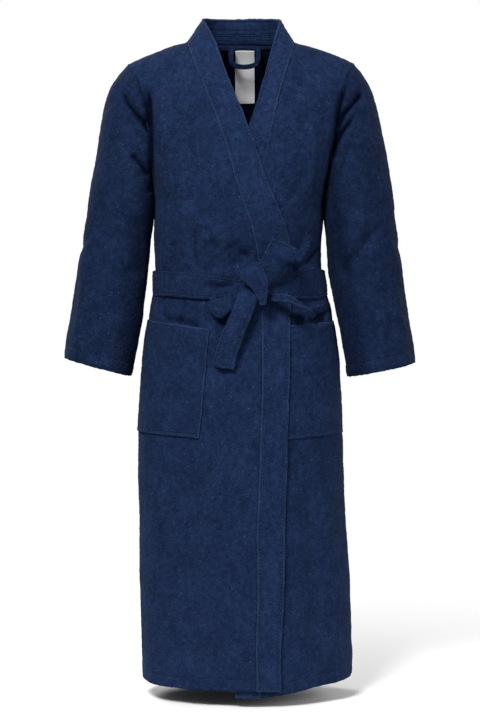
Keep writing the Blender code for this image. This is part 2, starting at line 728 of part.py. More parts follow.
def build_belt():
    middle = (BELT_LOW + BELT_TOP) / 2
    half = (BELT_TOP - BELT_LOW) / 2
    around = [(FRONT, s) for s in np.linspace(-1, 1, BELT_COLUMNS + 1)[:-1]]
    around += [(BACK, s) for s in np.linspace(1, -1, BELT_COLUMNS + 1)[:-1]]
    clear = 2 * SEAM
    inner, outer = [], []
    for height, wall in BELT_OUTLINE:
        inner_row, outer_row = [], []
        for face, s in around:
            point = surface(face, s, middle, folded=False)
            normal = outward(face, s, middle, folded=False) * np.array((1, 1, 0))
            normal /= np.linalg.norm(normal)
            point[2] = middle + height * half
            near = point + normal * (belt_rise(face, point[0]) + clear)
            inner_row.append(near + normal * BELT * (1 - wall) / 2)
            outer_row.append(near + normal * BELT * (1 + wall) / 2)
        inner.append(inner_row)
        outer.append(outer_row)
    add_wall("belt_waist", np.array(inner), np.array(outer), wrap=True)


def build_hanger():
    path = np.array([(x, HANGER_Y, z) for x, z in HANGER])
    way = np.gradient(path, axis=0)
    way /= np.linalg.norm(way, axis=1)[:, None]
    stations = [(*p, -w[2] * HANGER_HALF, 0.0, w[0] * HANGER_HALF) for p, w in zip(path, way)]
    add_strip("hanger_loop", stations, HANGER_THICK, per_span=2)


def build_label(points, normals):
    """Tape inside the back, hanging from the neck seam, made from the back's own rows."""
    columns = np.linspace(*LABEL_X, LABEL_COLUMNS)
    faces_in, faces_out = [], []
    for row, lay in zip(points[LABEL_FIRST_ROW:], normals[LABEL_FIRST_ROW:]):
        at = np.array([[np.interp(x, row[:, 0], row[:, c]) for c in range(3)] for x in columns])
        away = np.array([[np.interp(x, row[:, 0], lay[:, c]) for c in range(3)] for x in columns])
        faces_out.append(at - away * LABEL_GAP)
        faces_in.append(at - away * (LABEL_GAP + LABEL))
    add_wall("label", np.array(faces_in), np.array(faces_out), colour=WHITE)


def main():
    for old in list(bpy.data.objects):
        bpy.data.objects.remove(old)
    back = build_back()
    over = build_front("front_right", STITCH_OVER, -1, lifted=True)
    under = build_front("front_left", STITCH_UNDER, 1, lifted=False)
    build_pocket("pocket_right", over[2], over[1])
    build_pocket("pocket_left", under[2], under[1])
    build_sleeve("sleeve_right", -1, SLEEVE_RIGHT, armhole_loop(over[2][:, -1], back[2][:, 0]))
    build_sleeve("sleeve_left", 1, SLEEVE_LEFT, armhole_loop(under[2][:, -1], back[2][:, -1]))
    build_neckband(over, under, back)
    build_belt()
    add_strip("belt_knot", KNOT, BELT)
    add_strip("belt_end_upper", END_UPPER, BELT)
    add_strip("belt_end_lower", END_LOWER, BELT)
    add_strip("belt_loop_left", LOOP_LEFT, BELT)
    add_strip("belt_loop_right", LOOP_RIGHT, BELT)
    build_hanger()
    build_label(back[0], back[1])


main()
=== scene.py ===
# %% [markdown]
# # A kimono robe in terry cloth
# The robe hangs as if worn, with nobody in it. Every cut piece is a hollow wall already,
# so this script does not invent shapes: it takes each wall, gives it enough faces,
# lays in the creases, sews it and finishes it as terry.

# %% The frame and its box
import math

import bmesh
import bpy
import numpy as np
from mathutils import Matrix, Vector, noise
from mathutils.kdtree import KDTree


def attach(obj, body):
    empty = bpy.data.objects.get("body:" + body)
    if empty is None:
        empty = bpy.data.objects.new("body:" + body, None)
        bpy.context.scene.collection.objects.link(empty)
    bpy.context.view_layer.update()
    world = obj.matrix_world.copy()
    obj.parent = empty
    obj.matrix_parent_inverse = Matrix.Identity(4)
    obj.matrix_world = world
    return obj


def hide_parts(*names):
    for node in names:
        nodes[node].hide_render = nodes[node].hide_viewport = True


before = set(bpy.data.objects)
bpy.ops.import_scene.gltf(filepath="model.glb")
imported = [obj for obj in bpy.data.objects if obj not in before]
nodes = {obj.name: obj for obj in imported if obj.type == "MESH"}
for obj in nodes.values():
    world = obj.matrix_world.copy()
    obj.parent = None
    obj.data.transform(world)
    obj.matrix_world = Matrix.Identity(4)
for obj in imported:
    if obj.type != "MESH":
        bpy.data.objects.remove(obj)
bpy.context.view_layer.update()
MM = 0.001
print("pieces in the frame:", len(nodes))

# %% [markdown]
# The camera has the photograph's angle: far off, a little above the middle, looking
# slightly down. A long lens keeps the sleeves and the skirt undistorted.

# %% Camera
VIEW_FROM = Vector((-0.002, -4.5, -0.35))
VIEW_AT = Vector((-0.002, 0.0, -0.586))
FRAME_HEIGHT = 1.339
SENSOR = 36.0

camera_data = bpy.data.cameras.new("camera")
camera_data.sensor_fit = "VERTICAL"
camera_data.sensor_height = SENSOR
camera_data.lens = SENSOR * (VIEW_AT - VIEW_FROM).length / FRAME_HEIGHT
camera = bpy.data.objects.new("camera", camera_data)
camera.location = VIEW_FROM
camera.rotation_euler = (VIEW_AT - VIEW_FROM).to_track_quat("-Z", "Y").to_euler()
bpy.context.scene.collection.objects.link(camera)
bpy.context.scene.camera = camera
bpy.context.scene.view_settings.view_transform = "Standard"
print("lens in mm:", round(camera_data.lens, 1))

# %% [markdown]
# Dark terry shows its folds only if the light has a side it comes from. One broad panel
# stands above the camera and a little to the left, a weaker one to the right, two keep
# the back readable, and a dim white surround fills the hollows. Shaders are built from
# nodes, so two small helpers come first: one adds a node, one draws the wires.

# %% Soft light
def node_of(tree, kind, place, **settings):
    """Adds a shader node at a place in the editor, with its settings and constants."""
    made = tree.nodes.new(kind)
    made.location = place
    for key, value in settings.items():
        if key.startswith("in_"):
            made.inputs[key[3:].replace("_", " ")].default_value = value
        else:
            setattr(made, key, value)
    return made


def wire(tree, *pairs):
    """Draws wires from outputs to inputs."""
    for source, target in pairs:
        tree.links.new(source, target)


LIGHTS = [
    # name, place, size in metres, power in watts
    ("panel_main", (-1.1, -2.7, 2.0), 1.2, 196.0),
    ("panel_right", (2.7, -2.2, 0.2), 1.6, 42.0),
    ("panel_back_left", (-2.2, 2.8, 1.2), 1.6, 105.0),
    ("panel_back_right", (2.4, 2.6, 0.4), 1.6, 60.0),
]
LIGHT_AT = Vector((0.0, 0.0, -0.6))

for name, place, size, power in LIGHTS:
    lamp = bpy.data.lights.new(name, "AREA")
    lamp.size = size
    lamp.energy = power
    holder = bpy.data.objects.new(name, lamp)
    holder.location = place
    holder.rotation_euler = (LIGHT_AT - Vector(place)).to_track_quat("-Z", "Y").to_euler()
    bpy.context.scene.collection.objects.link(holder)

SURROUND_LIGHT = 0.24
world = bpy.data.worlds.new("surround")
bpy.context.scene.world = world
world.use_nodes = True
tree = world.node_tree
tree.nodes.clear()
seen = node_of(tree, "ShaderNodeBackground", (0, 0), in_Color=(1, 1, 1, 1))
lit = node_of(
    tree, "ShaderNodeBackground", (0, 200), in_Color=(1, 1, 1, 1), in_Strength=SURROUND_LIGHT
)
rays = node_of(tree, "ShaderNodeLightPath", (0, 500))
either = node_of(tree, "ShaderNodeMixShader", (300, 200))
out = node_of(tree, "ShaderNodeOutputWorld", (600, 200))
wire(
    tree, (rays.outputs["Is Camera Ray"], either.inputs[0]), (lit.outputs[0], either.inputs[1]),
    (seen.outputs[0], either.inputs[2]), (either.outputs[0], out.inputs[0]),
)
print("lights:", len(LIGHTS))

# %% [markdown]
# The floor is a pale disc just under the hem. It fades out into the white surround, so
# no horizon cuts through the picture from any side.

# %% Floor
def blank_material(name):
    """A material with an empty node tree."""
    made = bpy.data.materials.new(name)
    made.use_nodes = True
    made.node_tree.nodes.clear()
    return made, made.node_tree


FLOOR_LEVEL = -1.212
FLOOR_RADIUS = 1.6
# The floor fades out between these two distances from its middle
FADE_FROM, FADE_TO = 0.35, 0.95 * FLOOR_RADIUS
FLOOR_TONE = 0.93

bpy.ops.object.select_all(action="DESELECT")
bpy.ops.mesh.primitive_circle_add(
    vertices=96, radius=FLOOR_RADIUS, fill_type="TRIFAN", location=(0, 0, FLOOR_LEVEL)
)
floor = bpy.context.object
floor.name = "floor"
bpy.ops.object.transform_apply(location=True, rotation=True, scale=True)

paint, tree = blank_material("floor_paint")
where = node_of(tree, "ShaderNodeTexCoord", (-900, 0))
flat = node_of(tree, "ShaderNodeVectorMath", (-700, 0), operation="MULTIPLY")
flat.inputs[1].default_value = (1, 1, 0)
far = node_of(tree, "ShaderNodeVectorMath", (-500, 0), operation="LENGTH")
fade = node_of(
    tree, "ShaderNodeMapRange", (-300, 0), interpolation_type="SMOOTHSTEP",
    in_From_Min=FADE_FROM, in_From_Max=FADE_TO,
)
matt = node_of(tree, "ShaderNodeBsdfDiffuse", (-300, 300), in_Color=(*[FLOOR_TONE] * 3, 1))
clear = node_of(tree, "ShaderNodeBsdfTransparent", (-300, -300))
blend = node_of(tree, "ShaderNodeMixShader", (0, 0))
out = node_of(tree, "ShaderNodeOutputMaterial", (200, 0))
wire(
    tree, (where.outputs["Object"], flat.inputs[0]), (flat.outputs[0], far.inputs[0]),
    (far.outputs["Value"], fade.inputs["Value"]), (fade.outputs["Result"], blend.inputs[0]),
    (matt.outputs[0], blend.inputs[1]), (clear.outputs[0], blend.inputs[2]),
    (blend.outputs[0], out.inputs[0]),
)
floor.data.materials.append(paint)
print("floor at", FLOOR_LEVEL)

# %% [markdown]
# A material is a chain of small sums, worked out for every point of the surface. Four
# helpers keep the chains short: a ramp of colours, a sum, a mix of two colours, and the
# last shader with its bump.

# %% Nodes for colours and sums
def tone_ramp(tree, place, value, stops):
    """The colour of a value on a ramp with the given (position, colour) stops."""
    made = node_of(tree, "ShaderNodeValToRGB", place)
    marks = made.color_ramp.elements
    while len(marks) < len(stops):
        marks.new(0.5)
    for mark, (position, colour) in zip(marks, stops):
        mark.position = position
        mark.color = (*colour, 1)
    wire(tree, (value, made.inputs["Fac"]))
    return made.outputs["Color"]


def filled(tree, made, *inputs):
    """Fills the inputs of a node, each a wire or a constant, and gives the node."""
    for slot, value in inputs:
        if isinstance(value, bpy.types.NodeSocket):
            wire(tree, (value, made.inputs[slot]))
        else:
            made.inputs[slot].default_value = value
    return made


def maths(tree, place, kind, *values):
    """The result of a Math node."""
    made = node_of(tree, "ShaderNodeMath", place, operation=kind)
    return filled(tree, made, *enumerate(values)).outputs[0]


def mixed(tree, place, kind, share, base, top):
    """The result of a Mix node for colours."""
    made = node_of(tree, "ShaderNodeMix", place, data_type="RGBA", blend_type=kind)
    return filled(tree, made, (0, share), (6, base), (7, top)).outputs[2]


def bumped_skin(tree, colour, relief, bump, finish):
    """A shader with a colour, a bump and a finish, wired to the material's output."""
    strength, distance = bump
    dents = node_of(
        tree, "ShaderNodeBump", (-200, -300), in_Strength=strength, in_Distance=distance
    )
    skin = node_of(tree, "ShaderNodeBsdfPrincipled", (300, 0), **finish)
    out = node_of(tree, "ShaderNodeOutputMaterial", (600, 0))
    wire(
        tree, (relief, dents.inputs["Height"]), (dents.outputs[0], skin.inputs["Normal"]),
        (colour, skin.inputs["Base Color"]), (skin.outputs[0], out.inputs[0]),
    )


print("material helpers:", tone_ramp.__name__, maths.__name__, mixed.__name__)

# %% [markdown]
# Terry is woven with loops that stand up from both faces. From afar it reads as a matt,
# mottled navy with a soft bloom at grazing angles; close up each loop throws its own
# shadow. So the colour mixes three tones by coarse, middle and fine noise and is painted
# darker between the loops where that shadow falls, and the bump has loops about 2 mm wide
# over a nap of 8 mm. A second set of inputs darkens and dents the cloth where a stitch
# line runs, read from the piece's own measure of distance. The same inputs bring painted
# shade into deep creases, under the arms and inside the back, and a painted highlight
# along folded edges.

# %% Terry material
WHITE, BLACK = (1, 1, 1), (0, 0, 0)
NAVY_DEEP = (0.0064, 0.0144, 0.0445)
NAVY = (0.0100, 0.0226, 0.0665)
NAVY_PALE = (0.0165, 0.0348, 0.0960)
SPECK = (0.1300, 0.1900, 0.3300, 1)
SPECK_SHARE = 0.30
# Painted highlight on a folded edge: added to the navy
EDGE_HIGHLIGHT = (0.007, 0.013, 0.025, 1)
# What is left of the colour: painted shade between loops, a darker stitch line, and painted shade
# deep in a crease
LOOP_SHADE = (0.55, 0.55, 0.55)
STITCH_DIM = (0.78, 0.78, 0.78)
CREASE_SHADE = (0.06, 0.12, 0.20)
LOOP_SIZE = 2.1 * MM
STITCH_REACH = 2.42 * MM
# How much the nap and a stitch line count in the relief, beside the loops
NAP_RELIEF, STITCH_RELIEF = 1.6, 0.9
TERRY_BUMP = (0.85, 1.1 * MM)
TERRY_FINISH = {
    "in_Roughness": 0.95, "in_Specular_IOR_Level": 0.04, "in_Sheen_Weight": 0.03,
    "in_Sheen_Roughness": 0.45, "in_Sheen_Tint": (0.34, 0.46, 0.80, 1),
}
TERRY_NOISE = {
    # scale per metre, detail, roughness, share in the colour
    "cloudy": (26.0, 3.0, 0.5, 0.29), "mottle": (105.0, 4.0, 0.62, 0.55),
    "fine": (560.0, 2.0, 0.5, 0.16), "nap": (125.0, 3.0, 0.5, 0.0),
    "lint": (260.0, 1.0, 0.5, 0.0),
}


def terry(name, loop=LOOP_SIZE, stitched=False, tone=1.0):
    """Terry cloth in navy, with loops of the given size; a tone under 1 paints it darker as shade
    and one over 1 paler as light.
    """
    cloth, tree = blank_material(name)
    where = node_of(tree, "ShaderNodeTexCoord", (-1600, 0)).outputs["Object"]
    grain, sum_of_tones = {}, 0.0
    for row, (kind, (scale, detail, rough, share)) in enumerate(TERRY_NOISE.items()):
        texture = node_of(
            tree, "ShaderNodeTexNoise", (-1300, 500 - 250 * row), in_Scale=scale,
            in_Detail=detail, in_Roughness=rough,
        )
        wire(tree, (where, texture.inputs["Vector"]))
        grain[kind] = texture.outputs["Fac"]
        if share:
            place = (-1050, 500 - 250 * row)
            sum_of_tones = maths(tree, place, "MULTIPLY_ADD", grain[kind], share, sum_of_tones)
    loops = node_of(tree, "ShaderNodeTexVoronoi", (-1300, -800), in_Scale=1.0 / loop)
    wire(tree, (where, loops.inputs["Vector"]))
    from_loop = loops.outputs["Distance"]
    navies = [(0.36, NAVY_DEEP), (0.495, NAVY), (0.67, NAVY_PALE)]
    navies = [(at, tuple(part * tone for part in colour)) for at, colour in navies]
    colour = tone_ramp(tree, (-650, 250), sum_of_tones, navies)
    lint = tone_ramp(tree, (-900, 0), grain["lint"], [(0.72, BLACK), (0.77, WHITE)])
    lint = maths(tree, (-600, 0), "MULTIPLY", lint, SPECK_SHARE)
    colour = mixed(tree, (-350, 200), "MIX", lint, colour, SPECK)
    # painted shade between the loops of the pile, where their shadow falls
    loop_shade = tone_ramp(tree, (-1050, -800), from_loop, [(0.15, WHITE), (0.75, LOOP_SHADE)])
    colour = mixed(tree, (-100, 200), "MULTIPLY", 1.0, colour, loop_shade)
    rounded = maths(tree, (-1050, -450), "SUBTRACT", 1.0, from_loop)
    relief = maths(tree, (-850, -450), "MULTIPLY_ADD", grain["nap"], NAP_RELIEF, rounded)
    if stitched:
        stitch, painted_shade, edge = (
            node_of(tree, "ShaderNodeAttribute", (-1300, -1100 - 200 * row), attribute_name=mark)
            .outputs["Fac"] for row, mark in enumerate(("stitch", "painted_shade", "edge"))
        )
        groove = node_of(
            tree, "ShaderNodeMapRange", (-900, -900), interpolation_type="SMOOTHSTEP",
            in_From_Max=STITCH_REACH,
        )
        away = maths(tree, (-1100, -900), "ABSOLUTE", stitch)
        wire(tree, (away, groove.inputs["Value"]))
        groove = groove.outputs["Result"]
        darker = tone_ramp(tree, (-650, -900), groove, [(0.0, STITCH_DIM), (1.0, WHITE)])
        colour = mixed(tree, (100, 200), "MULTIPLY", 1.0, colour, darker)
        relief = maths(tree, (-400, -600), "MULTIPLY_ADD", groove, STITCH_RELIEF, relief)
        # painted shade: darker in sharp creases, on the inner side of a sleeve and inside the
        # back
        dim = tone_ramp(tree, (-150, 600), painted_shade, [(0.12, WHITE), (0.85, CREASE_SHADE)])
        colour = mixed(tree, (200, 500), "MULTIPLY", 1.0, colour, dim)
        # painted highlight along folded edges, read from the edge attribute
        weave_and_rim_highlight = tone_ramp(tree, (-150, 900), edge, [(0.25, BLACK), (0.95, WHITE)])
        colour = mixed(tree, (400, 700), "ADD", weave_and_rim_highlight, colour, EDGE_HIGHLIGHT)
    bumped_skin(tree, colour, relief, TERRY_BUMP, TERRY_FINISH)
    return cloth


# a darker copy of the terry: painted shade for the rolled allowances inside the seams
shaded_seam_terry = terry("shaded_seam_terry", tone=0.45)
print("terry loops in mm:", LOOP_SIZE / MM)

# %% [markdown]
# Each wall in the frame is made of few, long faces. To look like cloth it needs small,
# even ones. A copy is merged and turned back to quads, its folded borders are creased so
# that they stay put, and it is subdivided once. Then the rings of faces that are still
# long are cut across, and one more subdivision rounds everything. Cutting by rings keeps
# the rows of quads running with the grain of the cloth.

# %% From a coarse wall to a fine one
FOLDED_EDGE = math.radians(50)
# A row is cut when it is this share of a face too long, in at most so many rounds
CUT_SLACK, CUT_ROUNDS = 0.25, 6
COARSER = 1.0


def wake(piece):
    """Selects one object alone and makes it active."""
    bpy.ops.object.select_all(action="DESELECT")
    piece.select_set(True)
    bpy.context.view_layer.objects.active = piece


def copy_of(node, name):
    """A merged copy of a node's wall, in quads."""
    piece = bpy.data.objects.new(name, nodes[node].data.copy())
    piece.data.materials.clear()
    bpy.context.scene.collection.objects.link(piece)
    wake(piece)
    bpy.ops.object.mode_set(mode="EDIT")
    bpy.ops.mesh.select_all(action="SELECT")
    bpy.ops.mesh.remove_doubles(threshold=0.01 * MM)
    bpy.ops.mesh.tris_convert_to_quads(face_threshold=math.pi, shape_threshold=math.pi)
    bpy.ops.mesh.select_all(action="DESELECT")
    bpy.ops.object.mode_set(mode="OBJECT")
    return piece


def hold_borders(piece, weight):
    """Creases the sharp borders of a wall, where the cloth is folded over."""
    work = bmesh.new()
    work.from_mesh(piece.data)
    layer = work.edges.layers.float.get("crease_edge")
    if layer is None:
        layer = work.edges.layers.float.new("crease_edge")
    for edge in work.edges:
        sharp = len(edge.link_faces) == 2 and edge.calc_face_angle() > FOLDED_EDGE
        edge[layer] = weight if sharp else 0.0
    work.to_mesh(piece.data)
    work.free()


def round_off(piece):
    """One level of Subdivision Surface, applied."""
    wake(piece)
    soften = piece.modifiers.new("rounding", "SUBSURF")
    soften.levels = soften.render_levels = 1
    bpy.ops.object.modifier_apply(modifier=soften.name)


def rings_of(work):
    """The edges of a mesh in rings: each ring runs across a row of quads."""
    seen = set()
    rings = []
    for first in work.edges:
        if first in seen:
            continue
        seen.add(first)
        ring, waiting = [first], [first]
        while waiting:
            edge = waiting.pop()
            for face in edge.link_faces:
                if len(face.verts) != 4:
                    continue
                other = next(e for e in face.edges if not set(e.verts) & set(edge.verts))
                if other not in seen:
                    seen.add(other)
                    ring.append(other)
                    waiting.append(other)
        rings.append(ring)
    return rings


def cut_long_rows(piece, spacing):
    """Cuts the rows of faces that are longer than the spacing, until none is."""
    wake(piece)
    bpy.ops.object.mode_set(mode="EDIT")
    bpy.ops.mesh.select_mode(type="EDGE")
    for _ in range(CUT_ROUNDS):
        work = bmesh.from_edit_mesh(piece.data)
        found = {}
        for ring in rings_of(work):
            length = sum(e.calc_length() for e in ring) / len(ring)
            cuts = math.ceil(length / spacing - CUT_SLACK) - 1
            if cuts > 0:
                found.setdefault(cuts, []).append(ring)
        if not found:
            break
        most = max(found)
        bpy.ops.mesh.select_all(action="DESELECT")
        for ring in found[most]:
            for edge in ring:
                edge.select_set(True)
        bmesh.update_edit_mesh(piece.data)
        bpy.ops.mesh.subdivide(number_cuts=most, ngon=True, quadcorner="INNERVERT")
    bpy.ops.mesh.select_all(action="DESELECT")
    bpy.ops.object.mode_set(mode="OBJECT")


def fine_wall(node, name, spacing):
    """The fine, even, rounded wall of a node."""
    piece = copy_of(node, name)
    hold_borders(piece, 1.0)
    round_off(piece)
    cut_long_rows(piece, spacing * COARSER)
    hold_borders(piece, 0.9)
    round_off(piece)
    return piece


def places_of(piece):
    """The points of a piece as an array (n, 3)."""
    flat = np.empty(3 * len(piece.data.vertices))
    piece.data.vertices.foreach_get("co", flat)
    return flat.reshape(-1, 3)


def normals_of(piece):
    """The directions that the points of a piece face."""
    flat = np.empty(3 * len(piece.data.vertices))
    piece.data.vertices.foreach_get("normal", flat)
    return flat.reshape(-1, 3)


def place_points(piece, places):
    """Moves the points of a piece to the given places."""
    piece.data.vertices.foreach_set("co", places.astype(np.float32).ravel())
    piece.data.update()


def count(piece):
    """The triangles in a piece."""
    return sum(len(face.vertices) - 2 for face in piece.data.polygons)


# How long a face of each wall may be, in mm
SPACINGS = {
    "back": 9.0, "front_right": 8.0, "front_left": 8.0, "sleeve_right": 7.6,
    "sleeve_left": 7.6, "neckband": 7.0, "pocket_right": 7.0, "pocket_left": 7.0,
    "belt_waist": 6.0, "belt_knot": 3.6, "belt_end_upper": 4.0, "belt_end_lower": 4.0,
    "belt_loop_left": 3.6, "belt_loop_right": 3.6,
}
walls = {}
for node, spacing in SPACINGS.items():
    walls[node] = fine_wall(node, node + "_terry", spacing * MM)
    print(node, "has", count(walls[node]), "triangles")

# %% [markdown]
# A patch pocket never sits as straight as it was cut: it sags at its inner corner and
# gapes a little. This and the next steps are small moves of whole regions, made before
# the creases, because a crease is then laid on the shape that the piece really has.

# %% Sagging pockets
def between(values, table):
    """Reads a table of (place, value) pairs, in mm, and gives metres."""
    places, sizes = zip(*table)
    return np.interp(values / MM, places, sizes) * MM


POCKET_SAG = {
    # side of the robe, then how far the four corners drop in mm: top inner and outer,
    # bottom inner and outer
    "pocket_right": (-1.0, 14.0, -3.0, 11.0, 2.0),
    "pocket_left": (1.0, 7.0, 3.0, 11.0, 6.0),
}
POCKET_GAPE = 6.0 * MM
# The mouth gapes over this share of the height, most in its middle
MOUTH_SHARE, MOUTH_POWER = 0.13, 0.7
# The outer edge is tucked towards the side seam from this share of the width on
POCKET_TUCK, TUCK_FROM = 2.5 * MM, 0.93
POCKET_FRONT = -0.03


def sag_pocket(piece, side, top_in, top_out, low_in, low_out):
    """Drops a pocket's corners and opens its mouth."""
    places = places_of(piece)
    low, high = places.min(0), places.max(0)
    up = (places[:, 2] - low[2]) / (high[2] - low[2])
    inner = side * (low[0] if side > 0 else high[0])
    outer = side * (high[0] if side > 0 else low[0])
    out = np.clip((side * places[:, 0] - inner) / (outer - inner), 0.0, 1.0)
    drop = up * (top_in + (top_out - top_in) * out)
    drop += (1.0 - up) * (low_in + (low_out - low_in) * out)
    places[:, 2] -= drop * MM
    mouth = np.exp(-((1.0 - up) / MOUTH_SHARE) ** 2) * np.sin(np.pi * out) ** MOUTH_POWER
    places[:, 1] -= POCKET_GAPE * mouth * (places[:, 1] < POCKET_FRONT)
    places[:, 0] -= side * POCKET_TUCK * np.clip((out - TUCK_FROM) / (1.0 - TUCK_FROM), 0.0, 1.0)
    place_points(piece, places)


for node, row in POCKET_SAG.items():
    sag_pocket(walls[node], *row)
print("pockets sagged:", len(POCKET_SAG))

# %% [markdown]
# Soft cloth touches where a stiff wall would leave a gap. Under the arm the sleeve leans
# on the body, and below the belt the skirt bulges out at the sides. Both moves are read
# from short tables by height, and fade out with the distance from where they touch.

# %% Sleeves that lean, hips that bulge
# height, and how far the sleeve goes, in mm; the body meets it with a share of that
ARM_LEAN = [(-400, 0.0), (-360, 1.0), (-330, 3.0), (-290, 2.0), (-250, 0.0)]
BODY_LEAN = 0.3
LEAN_REACH, HIP_REACH = 30.0 * MM, 40.0 * MM
# How far out the sides of the body begin, and the inner side of a sleeve by height
BODY_SIDE = 0.115
SLEEVE_INNER = ([-0.40, -0.29], [0.168, 0.158])
for node in ("sleeve_right", "sleeve_left", "back", "front_right", "front_left"):
    piece = walls[node]
    places = places_of(piece)
    side, outwards = np.sign(places[:, 0]), np.abs(places[:, 0])
    lean = between(places[:, 2], ARM_LEAN)
    if node.startswith("sleeve"):
        inner = np.interp(places[:, 2], *SLEEVE_INNER)
        share = np.clip(1.0 - (outwards - inner) / LEAN_REACH, 0.0, 1.0)
        places[:, 0] -= side * lean * share
    else:
        share = np.clip((outwards - BODY_SIDE) / LEAN_REACH, 0.0, 1.0)
        places[:, 0] += side * BODY_LEAN * lean * share
    place_points(piece, places)

# for each side of the robe: height, and how far the cloth bulges, in mm
HIP_OUT = {
    -1.0: [(-520, 0.0), (-505, 3.0), (-485, 5.5), (-468, 5.0), (-455, 2.0), (-440, 0.0)],
    1.0: [(-520, 0.0), (-505, 4.0), (-485, 8.0), (-468, 7.5), (-455, 3.0), (-440, 0.0)],
}
for node in ("back", "front_right", "front_left"):
    piece = walls[node]
    places = places_of(piece)
    for side, table in HIP_OUT.items():
        share = np.clip((side * places[:, 0] - BODY_SIDE) / HIP_REACH, 0.0, 1.0)
        places[:, 0] += side * between(places[:, 2], table) * share
    place_points(piece, places)
print("largest lean and bulge in mm:", max(ARM_LEAN, key=lambda row: row[1])[1],
      max(row[1] for table in HIP_OUT.values() for row in table))

# %% [markdown]
# A tied belt narrows where it runs into the knot, and the wrap of the knot is pulled
# together at its foot. The belt is moved by how far each point lies between its lower
# and its upper edge, so both edges keep their own line.

# %% Belt and knot pulled into place
# side to side place, and how far the upper and the lower edge drop there, in mm
BELT_TOP_DROP = [(-170, 0), (-95, 0), (-46, 7), (-8, 14), (30, 8), (60, 0), (105, 0),
                 (135, -8), (158, -3), (175, 0)]
BELT_FOOT_DROP = [(-170, 0), (-100, 1), (-60, 3), (-8, -4), (30, 0), (100, 2), (140, 5), (175, 0)]
# On the left the foot of the belt flares over the hip, from this place outwards
BELT_FLARE, FLARE_FROM = 5.0 * MM, 0.125
# The drop fades out over this depth, so the back of the belt stays level
DROP_DEPTH = 0.05
belt = walls["belt_waist"]
places = places_of(belt)
low, high = places[:, 2].min(), places[:, 2].max()
up = (places[:, 2] - low) / (high - low)
x = places[:, 0]
drop = up * between(x, BELT_TOP_DROP) + (1.0 - up) * between(x, BELT_FOOT_DROP)
places[:, 2] -= drop * np.clip(-places[:, 1] / DROP_DEPTH, 0.0, 1.0)
places[:, 0] += BELT_FLARE * (1.0 - up) * np.clip((x - FLARE_FROM) / HIP_REACH, 0.0, 1.0)
place_points(belt, places)

# The foot of the wrap is pulled towards its right corner: height in mm and the share
# of the width that is left, then old and new heights
KNOT_FOOT = [(-490, 0.44), (-472, 0.47), (-455, 0.60), (-434, 0.98), (-390, 1.0)]
KNOT_HEIGHT = [(-490, -488), (-440, -437), (-420, -419), (-392, -398)]
KNOT_RIGHT = 47.0 * MM
knot = walls["belt_knot"]
places = places_of(knot)
share = np.interp(places[:, 2] / MM, *zip(*KNOT_FOOT))
places[:, 0] = KNOT_RIGHT - (KNOT_RIGHT - places[:, 0]) * share
places[:, 2] = between(places[:, 2], KNOT_HEIGHT)
place_points(knot, places)
print("belt and knot fitted, foot of the wrap in mm:", KNOT_HEIGHT[0][1])

# %% [markdown]
# The free ends and the loops of the bow hang and curl, so each strap gets a new middle
# line and a new half width. Its points are first measured across the old strap, from -1
# at one border to 1 at the other, and then set to the same share of the new one.

# %% Straps of the bow
# In how many places a strap is measured, and how far past its border a point may be
STRAP_MARKS, STRAP_PAST = 17, 1.12


def relay_strap(piece, along, middle_table, half_table, ends=None):
    """Gives a strap that runs along an axis a new middle line and a new half width.

    Ends stretch it along that axis first. The width lies in the other axis seen in front.
    """
    places = places_of(piece)
    wide = 2 if along == 0 else 0
    run, z = places[:, along], places[:, wide]
    if ends:
        run = np.interp(run, [run.min(), run.max()], np.array(ends) * MM)
        places[:, along] = run
    marks = np.linspace(run.min(), run.max(), STRAP_MARKS)
    centres, halves = [], []
    for low, high in zip(marks[:-1], marks[1:]):
        here = z[(run >= low) & (run <= high)]
        centres.append((here.min() + here.max()) / 2)
        halves.append(max((here.max() - here.min()) / 2, 1.0 * MM))
    at = (marks[:-1] + marks[1:]) / 2
    across = (z - np.interp(run, at, centres)) / np.interp(run, at, halves)
    across = np.clip(across, -STRAP_PAST, STRAP_PAST)
    places[:, wide] = between(run, middle_table) + across * between(run, half_table)
    place_points(piece, places)


relay_strap(
    walls["belt_loop_left"], 0,
    [(-62, -476), (-56, -479), (-46, -484), (-32, -485), (-18, -474), (-4, -462)],
    [(-62, 8), (-56, 14), (-46, 19), (-32, 20), (-18, 17), (-4, 12)],
)
relay_strap(
    walls["belt_loop_right"], 0,
    [(47, -465), (84, -468), (97, -473), (110, -482), (123, -493), (136, -505)],
    [(47, 7.0), (84, 8.0), (110, 9.5), (128, 11.0), (139, 15.0)],
    (47, 139),
)
# The free ends are given by the left and right border seen from the front, by height
UPPER_END = [(-449, 12, 68), (-437, 15, 76), (-418, 22, 87), (-404, 31, 97),
             (-383, 44, 107), (-372, 50, 92), (-361, 56, 66)]
LOWER_END = [(-597, -30, -14), (-593, -42, -13), (-582, -54, -10), (-567, -48, -6),
             (-539, -39, 4), (-512, -28, 15), (-474, -13, 30), (-456, -6, 36), (-433, 2, 42)]
for node, table, ends in (
    ("belt_end_upper", UPPER_END, (-449, -359)),
    ("belt_end_lower", LOWER_END, (-596, -431)),
):
    relay_strap(
        walls[node], 2,
        [(z, (left + right) / 2) for z, left, right in table],
        [(z, (right - left) / 2) for z, left, right in table],
        ends,
    )
print("straps relaid: 2 loops and 2 ends, lowest point in mm:", LOWER_END[0][0])
